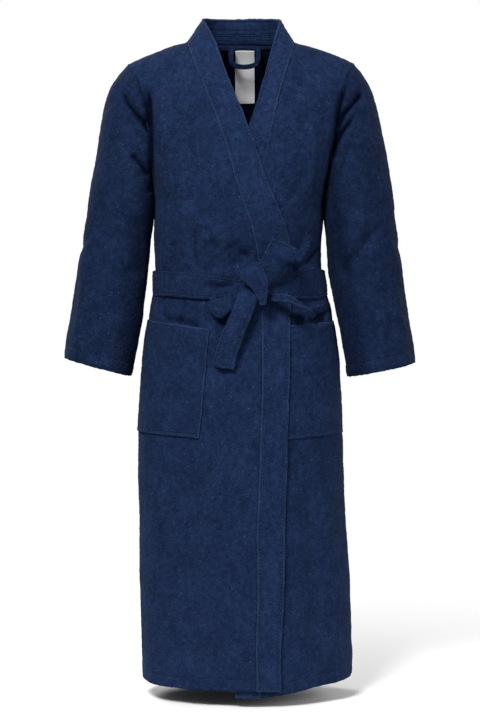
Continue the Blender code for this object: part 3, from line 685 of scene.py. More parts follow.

# %% [markdown]
# Terry is heavy, so it folds little: a worn robe shows creases that run from the sleeve
# into the armhole, small gathers above the belt, and long soft waves in the skirt. A
# simulation would fold it anywhere; the folds here are given one by one, each as a line
# with a depth and a width on either side. All pieces are pressed by the same function of
# place, so the seams stay closed and the lapped layers keep their distance.

# %% Creases laid one by one
# name, depth in mm (minus is a swell), width in mm to the left and to the right of the
# line as it runs down, and the line's points (x, z) in mm
FRONT_CREASES = [
    ("shoulder_right_a", 6.0, 5, 7,
     [(-219, -87), (-205, -113), (-192, -130), (-179, -147), (-167, -171)]),
    ("shoulder_right_b", 3.5, 5, 6, [(-186, -80), (-177, -112), (-169, -141), (-166, -171)]),
    ("shoulder_right_c", 2.2, 8, 8, [(-210, -136), (-193, -166), (-175, -195)]),
    ("armhole_right", 7.0, 5, 8,
     [(-173, -76), (-167, -102), (-163, -140), (-161, -195), (-160, -257), (-162, -296)]),
    ("armhole_right_low", 5.0, 5, 7, [(-201, -205), (-186, -221), (-167, -247)]),
    ("armhole_right_lower", 2.5, 8, 8, [(-190, -236), (-177, -259), (-166, -283)]),
    ("shoulder_right_swell", -2.5, 6, 6, [(-203, -93), (-190, -115), (-175, -138)]),
    ("armhole_right_swell", -2.5, 8, 8, [(-188, -177), (-175, -206), (-167, -225)]),
    ("chest_right_swell", -3.0, 16, 12, [(-145, -140), (-140, -214), (-141, -288)]),
    ("sleeve_right_swell", -4.0, 14, 12, [(-218, -322), (-210, -372), (-205, -422)]),
    ("sleeve_right_hollow", 5.0, 12, 16, [(-193, -316), (-186, -372), (-184, -437)]),
    ("sleeve_right_long", 3.0, 16, 16, [(-255, -270), (-255, -363), (-266, -474)]),
    ("sleeve_right_cuff", 2.5, 14, 12, [(-240, -474), (-247, -530), (-251, -590)]),
    ("sleeve_right_cross", 1.8, 9, 9, [(-277, -335), (-247, -355), (-221, -363)]),
    ("armhole_left", 6.2, 8, 5,
     [(199, -65), (190, -89), (181, -110), (175, -138), (172, -177), (163, -218),
      (154, -255), (151, -314)]),
    ("shoulder_left_a", 7.0, 7, 5, [(223, -87), (206, -115), (191, -132), (173, -162)]),
    ("shoulder_left_b", 5.5, 7, 5, [(208, -136), (191, -159), (175, -184), (164, -216)]),
    ("shoulder_left_swell", -3.5, 6, 6, [(216, -112), (197, -140), (182, -160)]),
    ("shoulder_left_swell_low", -3.0, 9, 7, [(206, -162), (190, -184), (177, -210)]),
    ("armhole_left_low", 2.6, 10, 8, [(193, -214), (179, -236), (162, -270)]),
    ("sleeve_left_swell", -4.5, 13, 13, [(232, -311), (210, -359), (188, -407)]),
    ("sleeve_left_hollow", 4.5, 14, 12, [(259, -329), (225, -374), (199, -415)]),
    ("sleeve_left_inner", 4.0, 12, 10, [(177, -316), (180, -372), (195, -446)]),
    ("sleeve_left_long", 3.0, 16, 14, [(266, -400), (273, -474), (281, -549)]),
    ("sleeve_left_cuff", 2.5, 14, 14, [(229, -474), (240, -539), (247, -604)]),
    ("chest_left_swell", -3.0, 12, 16, [(132, -140), (134, -214), (126, -288)]),
    ("chest_left_cross", 1.8, 12, 12, [(128, -232), (102, -270), (80, -298)]),
    ("chest_right_soft", 2.0, 18, 18, [(-65, -158), (-76, -232), (-84, -316)]),
    ("gather_right_a", 3.2, 8, 7, [(-121, -359), (-119, -396), (-117, -418)]),
    ("gather_right_b", 3.6, 9, 8, [(-84, -329), (-82, -381), (-78, -420)]),
    ("gather_right_c", 3.0, 7, 8, [(-56, -355), (-50, -392), (-43, -422)]),
    ("gather_right_swell_a", -2.6, 9, 8, [(-141, -335), (-140, -391), (-140, -418)]),
    ("gather_right_swell_b", -2.6, 9, 8, [(-100, -340), (-99, -391), (-97, -418)]),
    ("gather_right_swell_c", -2.4, 7, 8, [(-67, -348), (-63, -392), (-60, -418)]),
    ("band_hollow", 3.4, 15, 13, [(-22, -368), (-2, -386), (18, -400)]),
    ("gather_left_a", 4.5, 7, 6, [(145, -374), (130, -391), (115, -411)]),
    ("gather_left_b", 3.0, 9, 8, [(117, -344), (106, -374), (91, -400)]),
    ("gather_left_swell", -3.0, 7, 7, [(134, -363), (119, -385), (104, -409)]),
    ("hip_left_fold", 4.0, 7, 7, [(184, -482), (156, -497), (121, -508)]),
    ("hip_left_swell", -2.5, 6, 6, [(180, -467), (151, -482), (119, -491)]),
    ("hip_right_a", 2.6, 7, 7, [(-136, -471), (-140, -489), (-141, -508)]),
    ("hip_right_b", 2.6, 7, 7, [(-102, -476), (-106, -495), (-110, -513)]),
    ("hip_right_c", 2.4, 9, 9, [(-28, -474), (-28, -530), (-32, -623)]),
    ("skirt_right_a", 2.6, 26, 22, [(-121, -772), (-128, -921), (-132, -1107)]),
    ("skirt_right_b", -2.4, 24, 24, [(-54, -735), (-50, -921), (-58, -1144)]),
    ("skirt_right_c", 2.0, 18, 20, [(-84, -809), (-91, -958), (-95, -1181)]),
    ("skirt_right_d", 2.0, 18, 18, [(-2, -698), (-6, -884), (-2, -1107)]),
    ("skirt_left_a", 2.6, 22, 24, [(121, -753), (128, -921), (136, -1144)]),
    ("skirt_left_b", -2.4, 20, 22, [(166, -790), (173, -958), (177, -1144)]),
    ("skirt_left_c", -1.8, 18, 18, [(102, -884), (104, -1032), (106, -1181)]),
    ("belt_hollow", 3.7, 9, 7, [(-66, -443), (-36, -447), (-8, -443)]),
    ("pocket_right_shade", 4.2, 11, 4, [(-146, -506), (-108, -514), (-68, -521)]),
    ("pocket_left_shade", 4.6, 11, 4, [(92, -516), (126, -514), (160, -512)]),
    ("knot_hollow", 3.0, 14, 10, [(-16, -412), (0, -397), (12, -384)]),
    ("strip_hollow", 4.4, 8, 8, [(84, -498), (100, -503), (116, -508)]),
    ("hip_right_line", -1.6, 3, 3, [(-66, -458), (-66, -486), (-65, -516)]),
    ("end_hollow_left", 4.6, 8, 8, [(80, -402), (93, -412), (108, -420)]),
]
BACK_CREASES = [
    ("back_armhole_right", 5.0, 8, 8, [(-168, -85), (-158, -150), (-157, -220), (-160, -300)]),
    ("back_armhole_left", 5.0, 8, 8, [(176, -85), (160, -150), (153, -220), (150, -310)]),
    ("back_shoulder_right", 5.0, 9, 6, [(-216, -110), (-196, -150), (-172, -180)]),
    ("back_shoulder_left", 5.5, 6, 9, [(222, -105), (198, -150), (170, -190)]),
    ("back_shoulder_left_low", 3.5, 8, 8, [(206, -150), (190, -185), (166, -225)]),
    ("back_armpit_right", 4.0, 8, 8, [(-205, -190), (-185, -225), (-165, -270)]),
    ("back_across_a", 2.6, 16, 14, [(-120, -150), (-60, -175), (10, -178)]),
    ("back_across_b", 2.4, 16, 16, [(118, -130), (70, -165), (20, -190)]),
    ("back_blade_right", -3.0, 26, 26, [(-85, -160), (-80, -220), (-84, -290)]),
    ("back_blade_left", -3.0, 26, 26, [(85, -170), (82, -230), (80, -300)]),
    ("back_waist_a", 2.5, 12, 12, [(-122, -296), (-116, -350), (-108, -420)]),
    ("back_waist_b", 2.1, 9, 10, [(-76, -348), (-68, -384), (-62, -420)]),
    ("back_waist_c", 2.7, 12, 13, [(4, -286), (-4, -350), (-12, -420)]),
    ("back_waist_d", 1.8, 9, 9, [(30, -362), (38, -388), (44, -420)]),
    ("back_waist_e", 2.4, 12, 11, [(106, -304), (98, -362), (86, -420)]),
    ("back_waist_swell_a", -2.0, 12, 12, [(-98, -320), (-92, -374), (-85, -418)]),
    ("back_waist_swell_b", -1.8, 12, 12, [(-42, -336), (-38, -380), (-36, -418)]),
    ("back_waist_swell_c", -1.8, 11, 11, [(20, -326), (16, -374), (15, -418)]),
    ("back_waist_swell_d", -2.0, 12, 12, [(74, -330), (70, -376), (64, -418)]),
    ("back_hip_a", 2.4, 12, 12, [(-104, -468), (-98, -530), (-104, -622)]),
    ("back_hip_b", 2.8, 13, 13, [(-26, -468), (-22, -540), (-28, -660)]),
    ("back_hip_c", 2.2, 12, 12, [(60, -468), (54, -520), (60, -600)]),
    ("back_hip_d", 2.2, 11, 11, [(122, -468), (114, -508), (120, -570)]),
    ("back_skirt_a", 4.0, 26, 24, [(-120, -640), (-128, -820), (-132, -1180)]),
    ("back_skirt_b", -4.0, 28, 28, [(-70, -600), (-74, -820), (-78, -1180)]),
    ("back_skirt_c", 4.2, 24, 28, [(-16, -620), (-20, -840), (-18, -1180)]),
    ("back_skirt_d", -3.6, 28, 26, [(40, -600), (46, -820), (48, -1180)]),
    ("back_skirt_e", 4.0, 24, 24, [(104, -650), (110, -840), (118, -1180)]),
    ("back_sleeve_right_a", 4.0, 12, 12, [(-232, -330), (-248, -380), (-262, -440)]),
    ("back_sleeve_right_b", 3.0, 14, 14, [(-262, -420), (-268, -500), (-284, -600)]),
    ("back_sleeve_left_a", 4.0, 12, 12, [(226, -320), (244, -370), (262, -430)]),
    ("back_sleeve_left_b", 3.0, 14, 14, [(250, -430), (262, -510), (272, -600)]),
    ("back_sleeve_left_cross", 2.4, 9, 9, [(286, -300), (262, -320), (238, -322)]),
]
# On the sides the points are (y, z), and the depth is towards the middle of the arm
OUTER_CREASES = [
    ("outer_long", 3.4, 16, 16, [(20, -160), (26, -260), (18, -380)]),
    ("outer_cross", 2.8, 10, 10, [(52, -300), (22, -318), (-18, -318)]),
    ("outer_elbow", 3.2, 11, 11, [(-48, -352), (-10, -376), (30, -384)]),
    ("outer_low", 2.6, 16, 16, [(-22, -430), (-26, -520), (-22, -610)]),
    ("outer_swell", -2.6, 16, 16, [(14, -420), (12, -500), (10, -590)]),
]
SIDE_SKIRT_CREASES = [
    ("side_hip", 3.0, 10, 10, [(-20, -470), (-14, -520), (-16, -580)]),
    ("side_wave", 3.6, 24, 24, [(28, -620), (32, -820), (30, -1180)]),
    ("side_swell", -3.2, 24, 24, [(-26, -640), (-30, -820), (-32, -1180)]),
]
SIDE_REACH = 30.0
# The sides fold less than the front, or the outline would be notched
SIDE_SHARE = 0.45
# Terry is thick, so its creases are deeper than a shirt's: one factor for them all
WEIGHT_OF_CLOTH = 2.1
# 2 would be a round trough; less draws a crease to a line
VALLEY_POWER = 1.4
# A crease fades over this share of its length, and begins with this share of its depth
CREASE_FADE, CREASE_START = 0.22, 0.12
# On a sleeve the outer creases begin this far down, and set in over this distance
ARM_FROM, ARM_SETS_IN = 0.10, 0.08
# On the skirt they begin this far out and this far down, each with its distance
SKIRT_OUT, SKIRT_OUT_REACH = 0.11, 0.05
SKIRT_FROM, SKIRT_SETS_IN = 0.46, 0.01
# Above the cuff, only what lies this far inside the middle of the sleeve is skirt
INSIDE_SLEEVE, CUFF_LEVEL = 0.045, -0.64
# The middle of a sleeve: heights, and how far out it is there, in metres
ARM_LINE = ([-0.62, -0.30, -0.06], [0.276, 0.225, 0.180])


def ramp(value):
    """A smooth step from 0 to 1."""
    value = np.clip(value, 0.0, 1.0)
    return value * value * (3.0 - 2.0 * value)


def pressed(flat, creases):
    """How deep the creases press, in mm, at flat places (n, 2) in mm."""
    depth_here = np.zeros(len(flat))
    for _, depth, left, right, line in creases:
        line = np.array(line, float)
        reach = 3.0 * max(left, right)
        near = np.all((flat > line.min(0) - reach) & (flat < line.max(0) + reach), axis=1)
        here = flat[near]
        if not len(here):
            continue
        steps = np.diff(line, axis=0)
        lengths = np.hypot(*steps.T)
        before = np.concatenate([[0.0], np.cumsum(lengths)])
        best = np.full(len(here), np.inf)
        side = np.zeros(len(here))
        run = np.zeros(len(here))
        for start, step, length, gone in zip(line[:-1], steps, lengths, before):
            share = np.clip(((here - start) @ step) / length ** 2, 0.0, 1.0)
            apart = here - start - share[:, None] * step
            away = np.hypot(*apart.T)
            turned = step[0] * apart[:, 1] - step[1] * apart[:, 0]
            closer = away < best
            best = np.where(closer, away, best)
            side = np.where(closer, turned, side)
            run = np.where(closer, gone + share * length, run)
        whole = before[-1]
        width = np.where(side > 0, left, right)
        fade = ramp(run / (CREASE_FADE * whole) + CREASE_START)
        fade *= ramp((whole - run) / (CREASE_FADE * whole) + CREASE_START)
        valley = np.exp(-(best / width) ** VALLEY_POWER)
        depth_here[near] += WEIGHT_OF_CLOTH * depth * fade * valley
    return depth_here


def arm_at(height):
    """How far the middle of the sleeve is from the middle of the robe at a height."""
    return np.interp(height, *ARM_LINE)


def folded(places):
    """Where the creases move places (n, 3), in metres."""
    x, y, z = places.T
    front = ramp(-y / (SIDE_REACH * MM))
    behind = ramp(y / (SIDE_REACH * MM))
    seen = np.stack([x, z], axis=1) / MM
    aside = np.stack([y, z], axis=1) / MM
    moved = places.copy()
    moved[:, 1] += front * pressed(seen, FRONT_CREASES) * MM
    moved[:, 1] -= behind * pressed(seen, BACK_CREASES) * MM
    # the outer half of a sleeve, from a little below the shoulder on
    arm = ramp((np.abs(x) - arm_at(z)) / (SIDE_REACH * MM))
    arm *= ramp((-z - ARM_FROM) / ARM_SETS_IN)
    # the sides of the skirt below the belt, without the sleeve above them
    skirt = ramp((np.abs(x) - SKIRT_OUT) / SKIRT_OUT_REACH)
    skirt *= ramp((-z - SKIRT_FROM) / SKIRT_SETS_IN)
    skirt *= np.abs(x) < arm_at(z) - INSIDE_SLEEVE * (z > CUFF_LEVEL)
    off = -np.sign(x) * MM
    moved[:, 0] += off * SIDE_SHARE * arm * pressed(aside, OUTER_CREASES)
    moved[:, 0] += off * SIDE_SHARE * skirt * pressed(aside, SIDE_SKIRT_CREASES)
    return moved


print("creases for the front and the back:", len(FRONT_CREASES), len(BACK_CREASES))

# %% [markdown]
# No worn cloth is even between its creases, so all pieces wander a little, by the same
# noise in three sizes. The noise has a fixed seed, and every run gives the same robe.
# Deep places get less light than a fast render finds, so each point also stores how
# deep it lies, and the material darkens it there.

# %% Unevenness of the hand
# size of the unevenness in metres, and how far it moves the cloth in mm
UNEVEN = [(0.110, 2.2), (0.042, 1.0), (0.017, 0.45)]
# noise_vector starts from the clock unless it is given a seed
UNEVEN_SEED = 7
noise.seed_set(UNEVEN_SEED)


def uneven(places, rows):
    """Smooth, seeded wandering of places, the same for all pieces."""
    moved = places.copy()
    for order, (size, reach) in enumerate(rows):
        start = Vector((17.3 * order, 5.1, 2.7))
        drift = np.array(
            [noise.noise_vector(Vector(place) / size + start) for place in places]
        )
        moved += drift * reach * MM
    return moved


# Only creases narrower than this get painted shade, fully at this depth, both in mm
SHARP_WIDTH, DARKEST_CREASE = 12, 11.0
# The inside of the back under the neck seam lies in deep shade, in mm of height. A
# point is inside once its normal looks forward by more than this
INSIDE_FROM, INSIDE_FULL = -8.0, -22.0
LOOKS_FORWARD = 0.3
# The inner side of a sleeve is in the shade of the body: how dark, from how far inside
# its middle, from what height down, and over what distances it sets in, in metres
UNDER_ARM = 0.40
UNDER_FROM, UNDER_REACH = 0.020, 0.035
UNDER_HEIGHT, UNDER_DEPTH = 0.12, 0.1


def keep(piece, name, values):
    """Stores a number for each point of a piece, for the material to read."""
    mark = piece.data.attributes.new(name, "FLOAT", "POINT")
    mark.data.foreach_set("value", values.astype(np.float32))


def shade_creases(piece):
    """Stores painted shade for each point, from 0 to 1: by the depth of the sharp creases, on the
    inner side of a sleeve and inside the back.
    """
    places = places_of(piece)
    seen = places[:, [0, 2]] / MM
    sharp = [
        [row for row in rows if max(row[2:4]) < SHARP_WIDTH]
        for rows in (FRONT_CREASES, BACK_CREASES)
    ]
    depth = np.where(places[:, 1] < 0, pressed(seen, sharp[0]), pressed(seen, sharp[1]))
    share = np.clip(depth / DARKEST_CREASE, 0.0, 1.0) ** 2.0
    if piece in (walls["sleeve_right"], walls["sleeve_left"]):
        towards_body = arm_at(places[:, 2]) - np.abs(places[:, 0])
        shade = UNDER_ARM * ramp((towards_body - UNDER_FROM) / UNDER_REACH)
        shade *= ramp((-places[:, 2] - UNDER_HEIGHT) / UNDER_DEPTH)
        share = np.maximum(share, shade)
    if piece is walls["back"]:
        inside = ramp(-normals_of(piece)[:, 1] / LOOKS_FORWARD) * (places[:, 1] > 0.0)
        under = (INSIDE_FROM - seen[:, 1]) / (INSIDE_FROM - INSIDE_FULL)
        share = np.maximum(share, inside * ramp(under))
    keep(piece, "painted_shade", share)


for piece in walls.values():
    shade_creases(piece)
    place_points(piece, uneven(folded(places_of(piece)), UNEVEN))
print("unevenness in mm:", [reach for _, reach in UNEVEN])

# %% [markdown]
# The pile is not flat either: it stands in small tufts that catch the light and make
# the outline nubby. Points move along their normals, by under a millimetre.

# %% Tufts of the pile
TUFT, TUFT_RISE = 5.2 * MM, 0.85 * MM


def tufted(piece):
    """Raises small tufts along the normals of a piece."""
    places = places_of(piece)
    heights = np.array([noise.noise(Vector(place) / TUFT) for place in places])
    place_points(piece, places + normals_of(piece) * (heights * TUFT_RISE)[:, None])


for piece in walls.values():
    tufted(piece)
print("tufts in mm:", TUFT / MM)

# %% [markdown]
# Sewing is what makes cloth look made. The hems, cuffs, pockets, band and belt have a
# line of stitches a little inside their edge. Each piece stores how far each point is
# from that line, with a sign, so the material can dent and darken the exact line, and
# the same measure finds where the real stitches, small rounded threads, are set.

# %% Where the stitch lines run
# A distance in metres that counts as away from every line
FAR = 0.2
# A height above all, for pieces whose whole border is sewn
ALL = 9.0
# How far in from a folded edge the painted highlight reaches
HIGHLIGHT_RIM = 2.8 * MM
SEWN = {
    # how far inside the border the line runs and how much the edge swells, in mm, how
    # strong the painted highlight on the edge is, and under which height in metres the border
    # counts
    "back": (20.0, 0.9, 0.0, -1.13), "front_right": (20.0, 0.9, 0.0, -1.13),
    "front_left": (20.0, 0.9, 0.0, -1.13), "sleeve_right": (22.0, 1.0, 0.0, -0.55),
    "sleeve_left": (22.0, 1.0, 0.0, -0.55), "neckband": (5.5, 0.9, 1.0, ALL),
    "pocket_right": (5.0, 0.9, 1.0, ALL), "pocket_left": (5.0, 0.9, 1.0, ALL),
    "belt_waist": (4.5, 0.5, 0.0, ALL), "belt_end_upper": (5.0, 0.6, 0.55, ALL),
    "belt_end_lower": (5.0, 0.6, 0.55, ALL), "belt_knot": (4.5, 0.5, 0.6, ALL),
    "belt_loop_right": (4.0, 0.3, 0.6, ALL), "belt_loop_left": (4.0, 0.3, 0.0, ALL),
}
# Only points this near the box of a border are measured, in metres
NEAR_BORDER = 0.04
# Heights of the quilted rows on the inner face of the back band, how far back that face
# begins, and over what distance the rows set in, in mm
BAND_ROWS = (28.0, 20.0, 15.0, 7.0)
BAND_BACK, BAND_SETS_IN = 20.0, 10.0
BAND_FACING = 0.4
# A border is what was creased with more than this weight
BORDER_WEIGHT = 0.3


def band_rows(piece):
    """A measure, in metres, that changes sign at each quilted row of the back band."""
    places = places_of(piece)
    away = places[:, 2:] / MM - np.array(BAND_ROWS)
    nearest = np.abs(away).min(axis=1) * np.where((away < 0).sum(axis=1) % 2, -1.0, 1.0)
    inner = ramp((places[:, 1] / MM - BAND_BACK) / BAND_SETS_IN)
    inner *= ramp(-normals_of(piece)[:, 1] / BAND_FACING)
    return (nearest + FAR / MM * (1.0 - inner)) * MM


def border_points(piece):
    """The points on the folded borders of a piece."""
    work = bmesh.new()
    work.from_mesh(piece.data)
    layer = work.edges.layers.float.get("crease_edge")
    points = {v.index for e in work.edges if e[layer] > BORDER_WEIGHT for v in e.verts}
    work.free()
    return sorted(points)


def measure_stitches(node, piece):
    """Stores how far each point of a piece is from its stitch line, in metres."""
    inside, _, rim_highlight, below = SEWN[node]
    places = places_of(piece)
    border = np.array(border_points(piece))
    border = border[places[border, 2] < below]
    tree = KDTree(len(border))
    for order, index in enumerate(border):
        tree.insert(places[index], order)
    tree.balance()
    apart = np.full(len(places), FAR)
    low, high = places[border].min(0) - NEAR_BORDER, places[border].max(0) + NEAR_BORDER
    near = np.all((places > low) & (places < high), axis=1)
    for index in np.flatnonzero(near):
        apart[index] = tree.find(places[index])[2]
    line = apart - inside * MM
    if node == "neckband":
        line = np.minimum(line, band_rows(piece))
    keep(piece, "stitch", line)
    # painted highlight along the folded edge, fading inwards
    keep(piece, "edge", rim_highlight * np.exp(-(apart / HIGHLIGHT_RIM) ** 2))
    return apart


edge_distance = {node: measure_stitches(node, piece) for node, piece in walls.items()}
print("stitch lines measured on", len(edge_distance), "pieces")

# %% [markdown]
# Along every seam the pile sinks a little, and a folded hem is thicker than the cloth.
# Points near an edge are therefore moved along their normals: in at the stitch line, out
# between it and the edge.

# %% Soft valleys and thick edges
# The line is this wide and sinks by this much, in mm; the swell peaks and spreads by
# these shares of the distance between the edge and the line
LINE_WIDTH, LINE_DENT = 2.2, 0.6
EDGE_PEAK, EDGE_SPREAD = 0.45, 0.42


def swell_edges(node, piece):
    """Raises the cloth between a piece's stitch line and its edge."""
    inside, swell = SEWN[node][0] * MM, SEWN[node][1]
    apart = edge_distance[node]
    line = np.exp(-((apart - inside) / (LINE_WIDTH * MM)) ** 2)
    edge = np.exp(-((apart - EDGE_PEAK * inside) / (EDGE_SPREAD * inside)) ** 2)
    move = (swell * edge - LINE_DENT * line) * MM
    place_points(piece, places_of(piece) + normals_of(piece) * move[:, None])


for node, piece in walls.items():
    swell_edges(node, piece)
print("edges swelled:", len(SEWN))

# %% [markdown]
# A stitch on terry is a short rounded thread, half sunk in the pile. It could be drawn
# by the material, but then it would have no outline of its own. So one thread is
# modelled from a sphere of few faces and copied along each line, at an even step, turned
# to run with the line and to face out of the cloth.

# %% Threads
STITCH_STEP = 3.4 * MM
# The line crosses a face in a run longer than this, and a thread stands this far out
SHORTEST_RUN, THREAD_LIFT = 0.2 * MM, 0.12 * MM
THREAD_LONG, THREAD_WIDE, THREAD_HIGH = 1.25 * MM, 0.36 * MM, 0.30 * MM

bpy.ops.object.select_all(action="DESELECT")
bpy.ops.mesh.primitive_uv_sphere_add(segments=6, ring_count=4, radius=1.0)
one_stitch = bpy.context.object
bpy.ops.transform.rotate(
    value=math.pi / 2, orient_axis="Y", center_override=(0.0, 0.0, 0.0)
)
bpy.ops.transform.resize(value=(THREAD_LONG, THREAD_WIDE, THREAD_HIGH))
bpy.ops.object.transform_apply(location=True, rotation=True, scale=True)
stitch_points = places_of(one_stitch)
stitch_faces = [tuple(face.vertices) for face in one_stitch.data.polygons]
bpy.data.objects.remove(one_stitch)


def line_crossings(piece):
    """Where the stitch line crosses each face: (middle, direction, normal)."""
    values = np.empty(len(piece.data.vertices), np.float32)
    piece.data.attributes["stitch"].data.foreach_get("value", values)
    places = places_of(piece)
    found = []
    for face in piece.data.polygons:
        around = list(face.vertices)
        marks = values[around]
        if marks.min() >= 0 or marks.max() < 0:
            continue
        ends = []
        for first, second in zip(around, around[1:] + around[:1]):
            a, b = values[first], values[second]
            if (a < 0) != (b < 0):
                share = a / (a - b)
                ends.append(places[first] + share * (places[second] - places[first]))
        if len(ends) == 2 and np.linalg.norm(ends[1] - ends[0]) > SHORTEST_RUN:
            found.append((0.5 * (ends[0] + ends[1]), ends[1] - ends[0], face.normal.copy()))
    return found


def sew(node, piece):
    """Sets stitches along the stitch line of a piece."""
    taken = {}
    points, faces = [], []
    for middle, run, normal in line_crossings(piece):
        cell = tuple(np.floor(middle / STITCH_STEP).astype(int))
        around = [
            taken[key] for key in (
                (cell[0] + i, cell[1] + j, cell[2] + k)
                for i in (-1, 0, 1) for j in (-1, 0, 1) for k in (-1, 0, 1)
            ) if key in taken
        ]
        normal = np.array(normal)
        if any(
            np.linalg.norm(middle - other) < STITCH_STEP and normal @ facing > 0
            for other, facing in around
        ):
            continue
        taken[cell] = (middle, normal)
        along_x = run / np.linalg.norm(run)
        across = np.cross(normal, along_x)
        frame_of = np.stack([along_x, across, normal])
        start = len(points) * len(stitch_points)
        points.append(stitch_points @ frame_of + middle + normal * THREAD_LIFT)
        faces.extend(tuple(start + i for i in face) for face in stitch_faces)
    mesh = bpy.data.meshes.new(node + "_stitches")
    mesh.from_pydata(np.concatenate(points).tolist(), [], faces)
    thread = bpy.data.objects.new(node + "_stitches", mesh)
    bpy.context.scene.collection.objects.link(thread)
    return thread, len(points)


stitches = {}
for node, piece in walls.items():
    stitches[node], how_many = sew(node, piece)
    print(node, "has", how_many, "stitches")

# %% [markdown]
# Inside a robe every seam has a rolled, overlocked allowance. It lies between the two
# pieces, closes the last hair of light between them, and its terry is painted darker as
# the shade in the seam, which gives the seam its dark line.
# The middle of a seam is found from the border points of one piece, sorted by their
# angle round the opening and averaged.

# %% Rolled seam allowances
ROLL, NECK_ROLL = 1.9 * MM, 3.2 * MM
# The rolls lie this far under the cloth
ROLL_UNDER = 0.8 * MM
# How often a line is evened out, and how many places each seam gets
EVENINGS = 3
NECK_PLACES, ARM_PLACES, SIDE_PLACES = 56, 84, 70
# The armhole is the border of the sleeve above this height, round this middle
ARMHOLE_FOOT, ARMHOLE_MIDDLE = -0.40, -0.165
SIDE_FROM, SIDE_TO = -1.170, -0.300
# The neck seam is the border of the back within this half width, above this height
# and behind this depth
NECK_HALF, NECK_FOOT, NECK_FRONT = 0.106, -0.025, -0.006


def seam_line(piece, counts, angle_of, steps):
    """The middle of a seam as an ordered list of places."""
    places = places_of(piece)[border_points(piece)]
    places = places[counts(places)]
    angles = angle_of(places)
    order = np.linspace(angles.min(), angles.max(), steps + 1)
    middles = []
    for low, high in zip(order[:-1], order[1:]):
        here = places[(angles >= low) & (angles <= high)]
        if len(here):
            middles.append(here.mean(0))
    return middles


def roll_along(name, line, closed, radius=ROLL):
    """A rolled allowance along a line of places, evened out first."""
    line = np.array(line)
    for _ in range(EVENINGS):
        evened = (np.roll(line, 1, axis=0) + 2.0 * line + np.roll(line, -1, axis=0)) / 4.0
        if not closed:
            evened[[0, -1]] = line[[0, -1]]
        line = evened
    curve = bpy.data.curves.new(name, "CURVE")
    curve.dimensions = "3D"
    curve.bevel_depth = radius
    curve.bevel_resolution = 2
    run = curve.splines.new("POLY")
    run.points.add(len(line) - 1)
    for point, place in zip(run.points, line):
        point.co = (*place, 1.0)
    run.use_cyclic_u = closed
    roll = bpy.data.objects.new(name, curve)
    bpy.context.scene.collection.objects.link(roll)
    wake(roll)
    bpy.ops.object.convert(target="MESH")
    return bpy.context.object


rolls = {
    "neck_roll": roll_along(
        "neck_roll",
        seam_line(
            walls["back"],
            lambda p: (np.abs(p[:, 0]) < NECK_HALF) & (p[:, 2] > NECK_FOOT)
            & (p[:, 1] > NECK_FRONT),
            lambda p: np.arctan2(p[:, 1], p[:, 0]),
            NECK_PLACES,
        ),
        False,
        NECK_ROLL,
    )
}
for node in ("sleeve_right", "sleeve_left"):
    line = seam_line(
        walls[node],
        lambda p: p[:, 2] > ARMHOLE_FOOT,
        lambda p: np.arctan2(p[:, 1], p[:, 2] - ARMHOLE_MIDDLE),
        ARM_PLACES,
    )
    middle = np.mean(line, axis=0)
    inwards = middle - np.array(line)
    inwards[:, 0] = 0.0
    inwards /= np.linalg.norm(inwards, axis=1)[:, None]
    line = np.array(line) + inwards * ROLL_UNDER
    rolls[node + "_roll"] = roll_along(node + "_roll", line, True)
for name, side in (("side_right_roll", -1.0), ("side_left_roll", 1.0)):
    line = seam_line(
        walls["back"],
        lambda p: (side * p[:, 0] > BODY_SIDE) & (p[:, 2] > SIDE_FROM) & (p[:, 2] < SIDE_TO),
        lambda p: p[:, 2],
        SIDE_PLACES,
    )
    line = np.array(line) - np.array([side * ROLL_UNDER, 0.0, 0.0])
    rolls[name] = roll_along(name, line, False)
for name, roll in rolls.items():
    low, high = places_of(roll).min(0), places_of(roll).max(0)
    print(name, count(roll), np.round(low, 3), np.round(high, 3))

# %% [markdown]
# Inside the back neck hang two small things: a hanger loop, which is a narrow tube of
# the same navy, and a woven label, which is left bare. Both follow the back, so they
# take the same unevenness as the cloth around them.

# %% Hanger loop and label
def smooth_wall(node, name, spacing, hold, rows=UNEVEN):
    """A finely divided wall whose borders are held with the given weight."""
    piece = copy_of(node, name)
    hold_borders(piece, hold)
    round_off(piece)
    cut_long_rows(piece, spacing * MM)
    hold_borders(piece, hold * 0.5)
    round_off(piece)
    place_points(piece, uneven(folded(places_of(piece)), rows))
    return piece


hanger = smooth_wall("hanger_loop", "hanger_loop_cord", 3.0, 0.35)
label = smooth_wall("label", "label_tape", 4.0, 0.9, UNEVEN[:1])
LABEL_LIFT = 2.0 * MM
place_points(label, places_of(label) + np.array([0.0, -LABEL_LIFT, 0.0]))
print("hanger loop and label:", count(hanger), count(label))

# %% [markdown]
# The label is a white tape and the thread is navy: both are plain weaves. Two waves of
# fine bands cross, one for each way the threads run, and a little noise makes the
# threads uneven, so that neither reads as smooth plastic.

# %% Their finishes
SLUB_SHARE = 0.5
TAPE_BUMP = (0.5, 0.2 * MM)
TAPE_FINISH = {"in_Roughness": 0.6, "in_Sheen_Weight": 0.1}


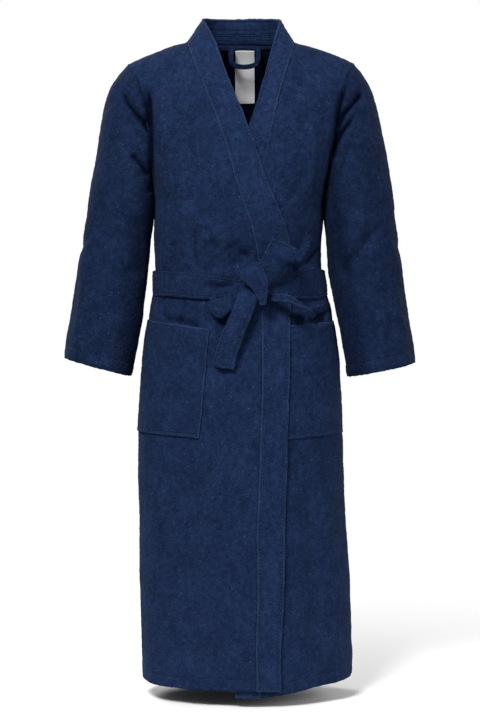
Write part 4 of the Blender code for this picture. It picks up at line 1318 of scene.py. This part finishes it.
def plain_weave(name, colour, dark, threads):
    """A woven tape: fine crossing threads in one colour."""
    tape, tree = blank_material(name)
    where = node_of(tree, "ShaderNodeTexCoord", (-1200, 0)).outputs["Object"]
    weft, warp = (
        node_of(tree, "ShaderNodeTexWave", (-900, top), bands_direction=way, in_Scale=threads)
        for way, top in (("Z", 200), ("X", -100))
    )
    slub = node_of(tree, "ShaderNodeTexNoise", (-900, -400), in_Scale=300.0, in_Detail=2.0)
    wire(tree, *((where, texture.inputs["Vector"]) for texture in (weft, warp, slub)))
    crossed = maths(tree, (-650, 50), "MULTIPLY", weft.outputs["Fac"], warp.outputs["Fac"])
    weave_and_rim_highlight = maths(
        tree, (-450, -50), "MULTIPLY_ADD", slub.outputs["Fac"], SLUB_SHARE, crossed
    )
    tones = tone_ramp(tree, (-250, 100), weave_and_rim_highlight, [(0.15, dark), (0.70, colour)])
    bumped_skin(tree, tones, weave_and_rim_highlight, TAPE_BUMP, TAPE_FINISH)
    return tape


label_tape = plain_weave("label_tape", (0.92, 0.92, 0.93), (0.66, 0.67, 0.70), 520.0)
thread_navy = plain_weave("thread_navy", (0.013, 0.030, 0.092), (0.008, 0.020, 0.064), 900.0)
hanger.data.materials.append(terry("hanger_terry", loop=1.2 * MM))
label.data.materials.append(label_tape)
for thread in stitches.values():
    thread.data.materials.append(thread_navy)
print("trim finished")

# %% [markdown]
# Each piece now takes its material and its place in the frame: the body that it rides
# on, and the node that it replaces.


def dress(piece, node, replaced=True):
    """Rounds the shading of a piece, gives it its body and hides the node that it replaces, if it
    replaces one.
    """
    for face in piece.data.polygons:
        face.use_smooth = True
    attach(piece, "root")
    if replaced:
        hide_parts(node)


# Painted light and shade: these pieces get a paler or darker copy of the terry, for how the light
# falls on them
LIGHT_AND_SHADE_TONES = {"sleeve": 0.82, "neckband": 1.08, "belt_waist": 0.93}
stitched_terry = terry("stitched_terry", stitched=True)
lit_and_shaded_terry = {
    start: terry(start + "_terry", stitched=True, tone=tone) for start, tone in LIGHT_AND_SHADE_TONES.items()
}
for node, piece in walls.items():
    cloth = next((lit_and_shaded_terry[s] for s in LIGHT_AND_SHADE_TONES if node.startswith(s)), stitched_terry)
    piece.data.materials.append(cloth)
    dress(piece, node)
    dress(stitches[node], node, replaced=False)
dress(hanger, "hanger_loop")
dress(label, "label")
for roll in rolls.values():
    roll.data.materials.append(shaded_seam_terry)
    dress(roll, "back", replaced=False)
pieces = [*walls.values(), *stitches.values(), *rolls.values(), hanger, label]
print("triangles in all:", sum(count(piece) for piece in pieces))
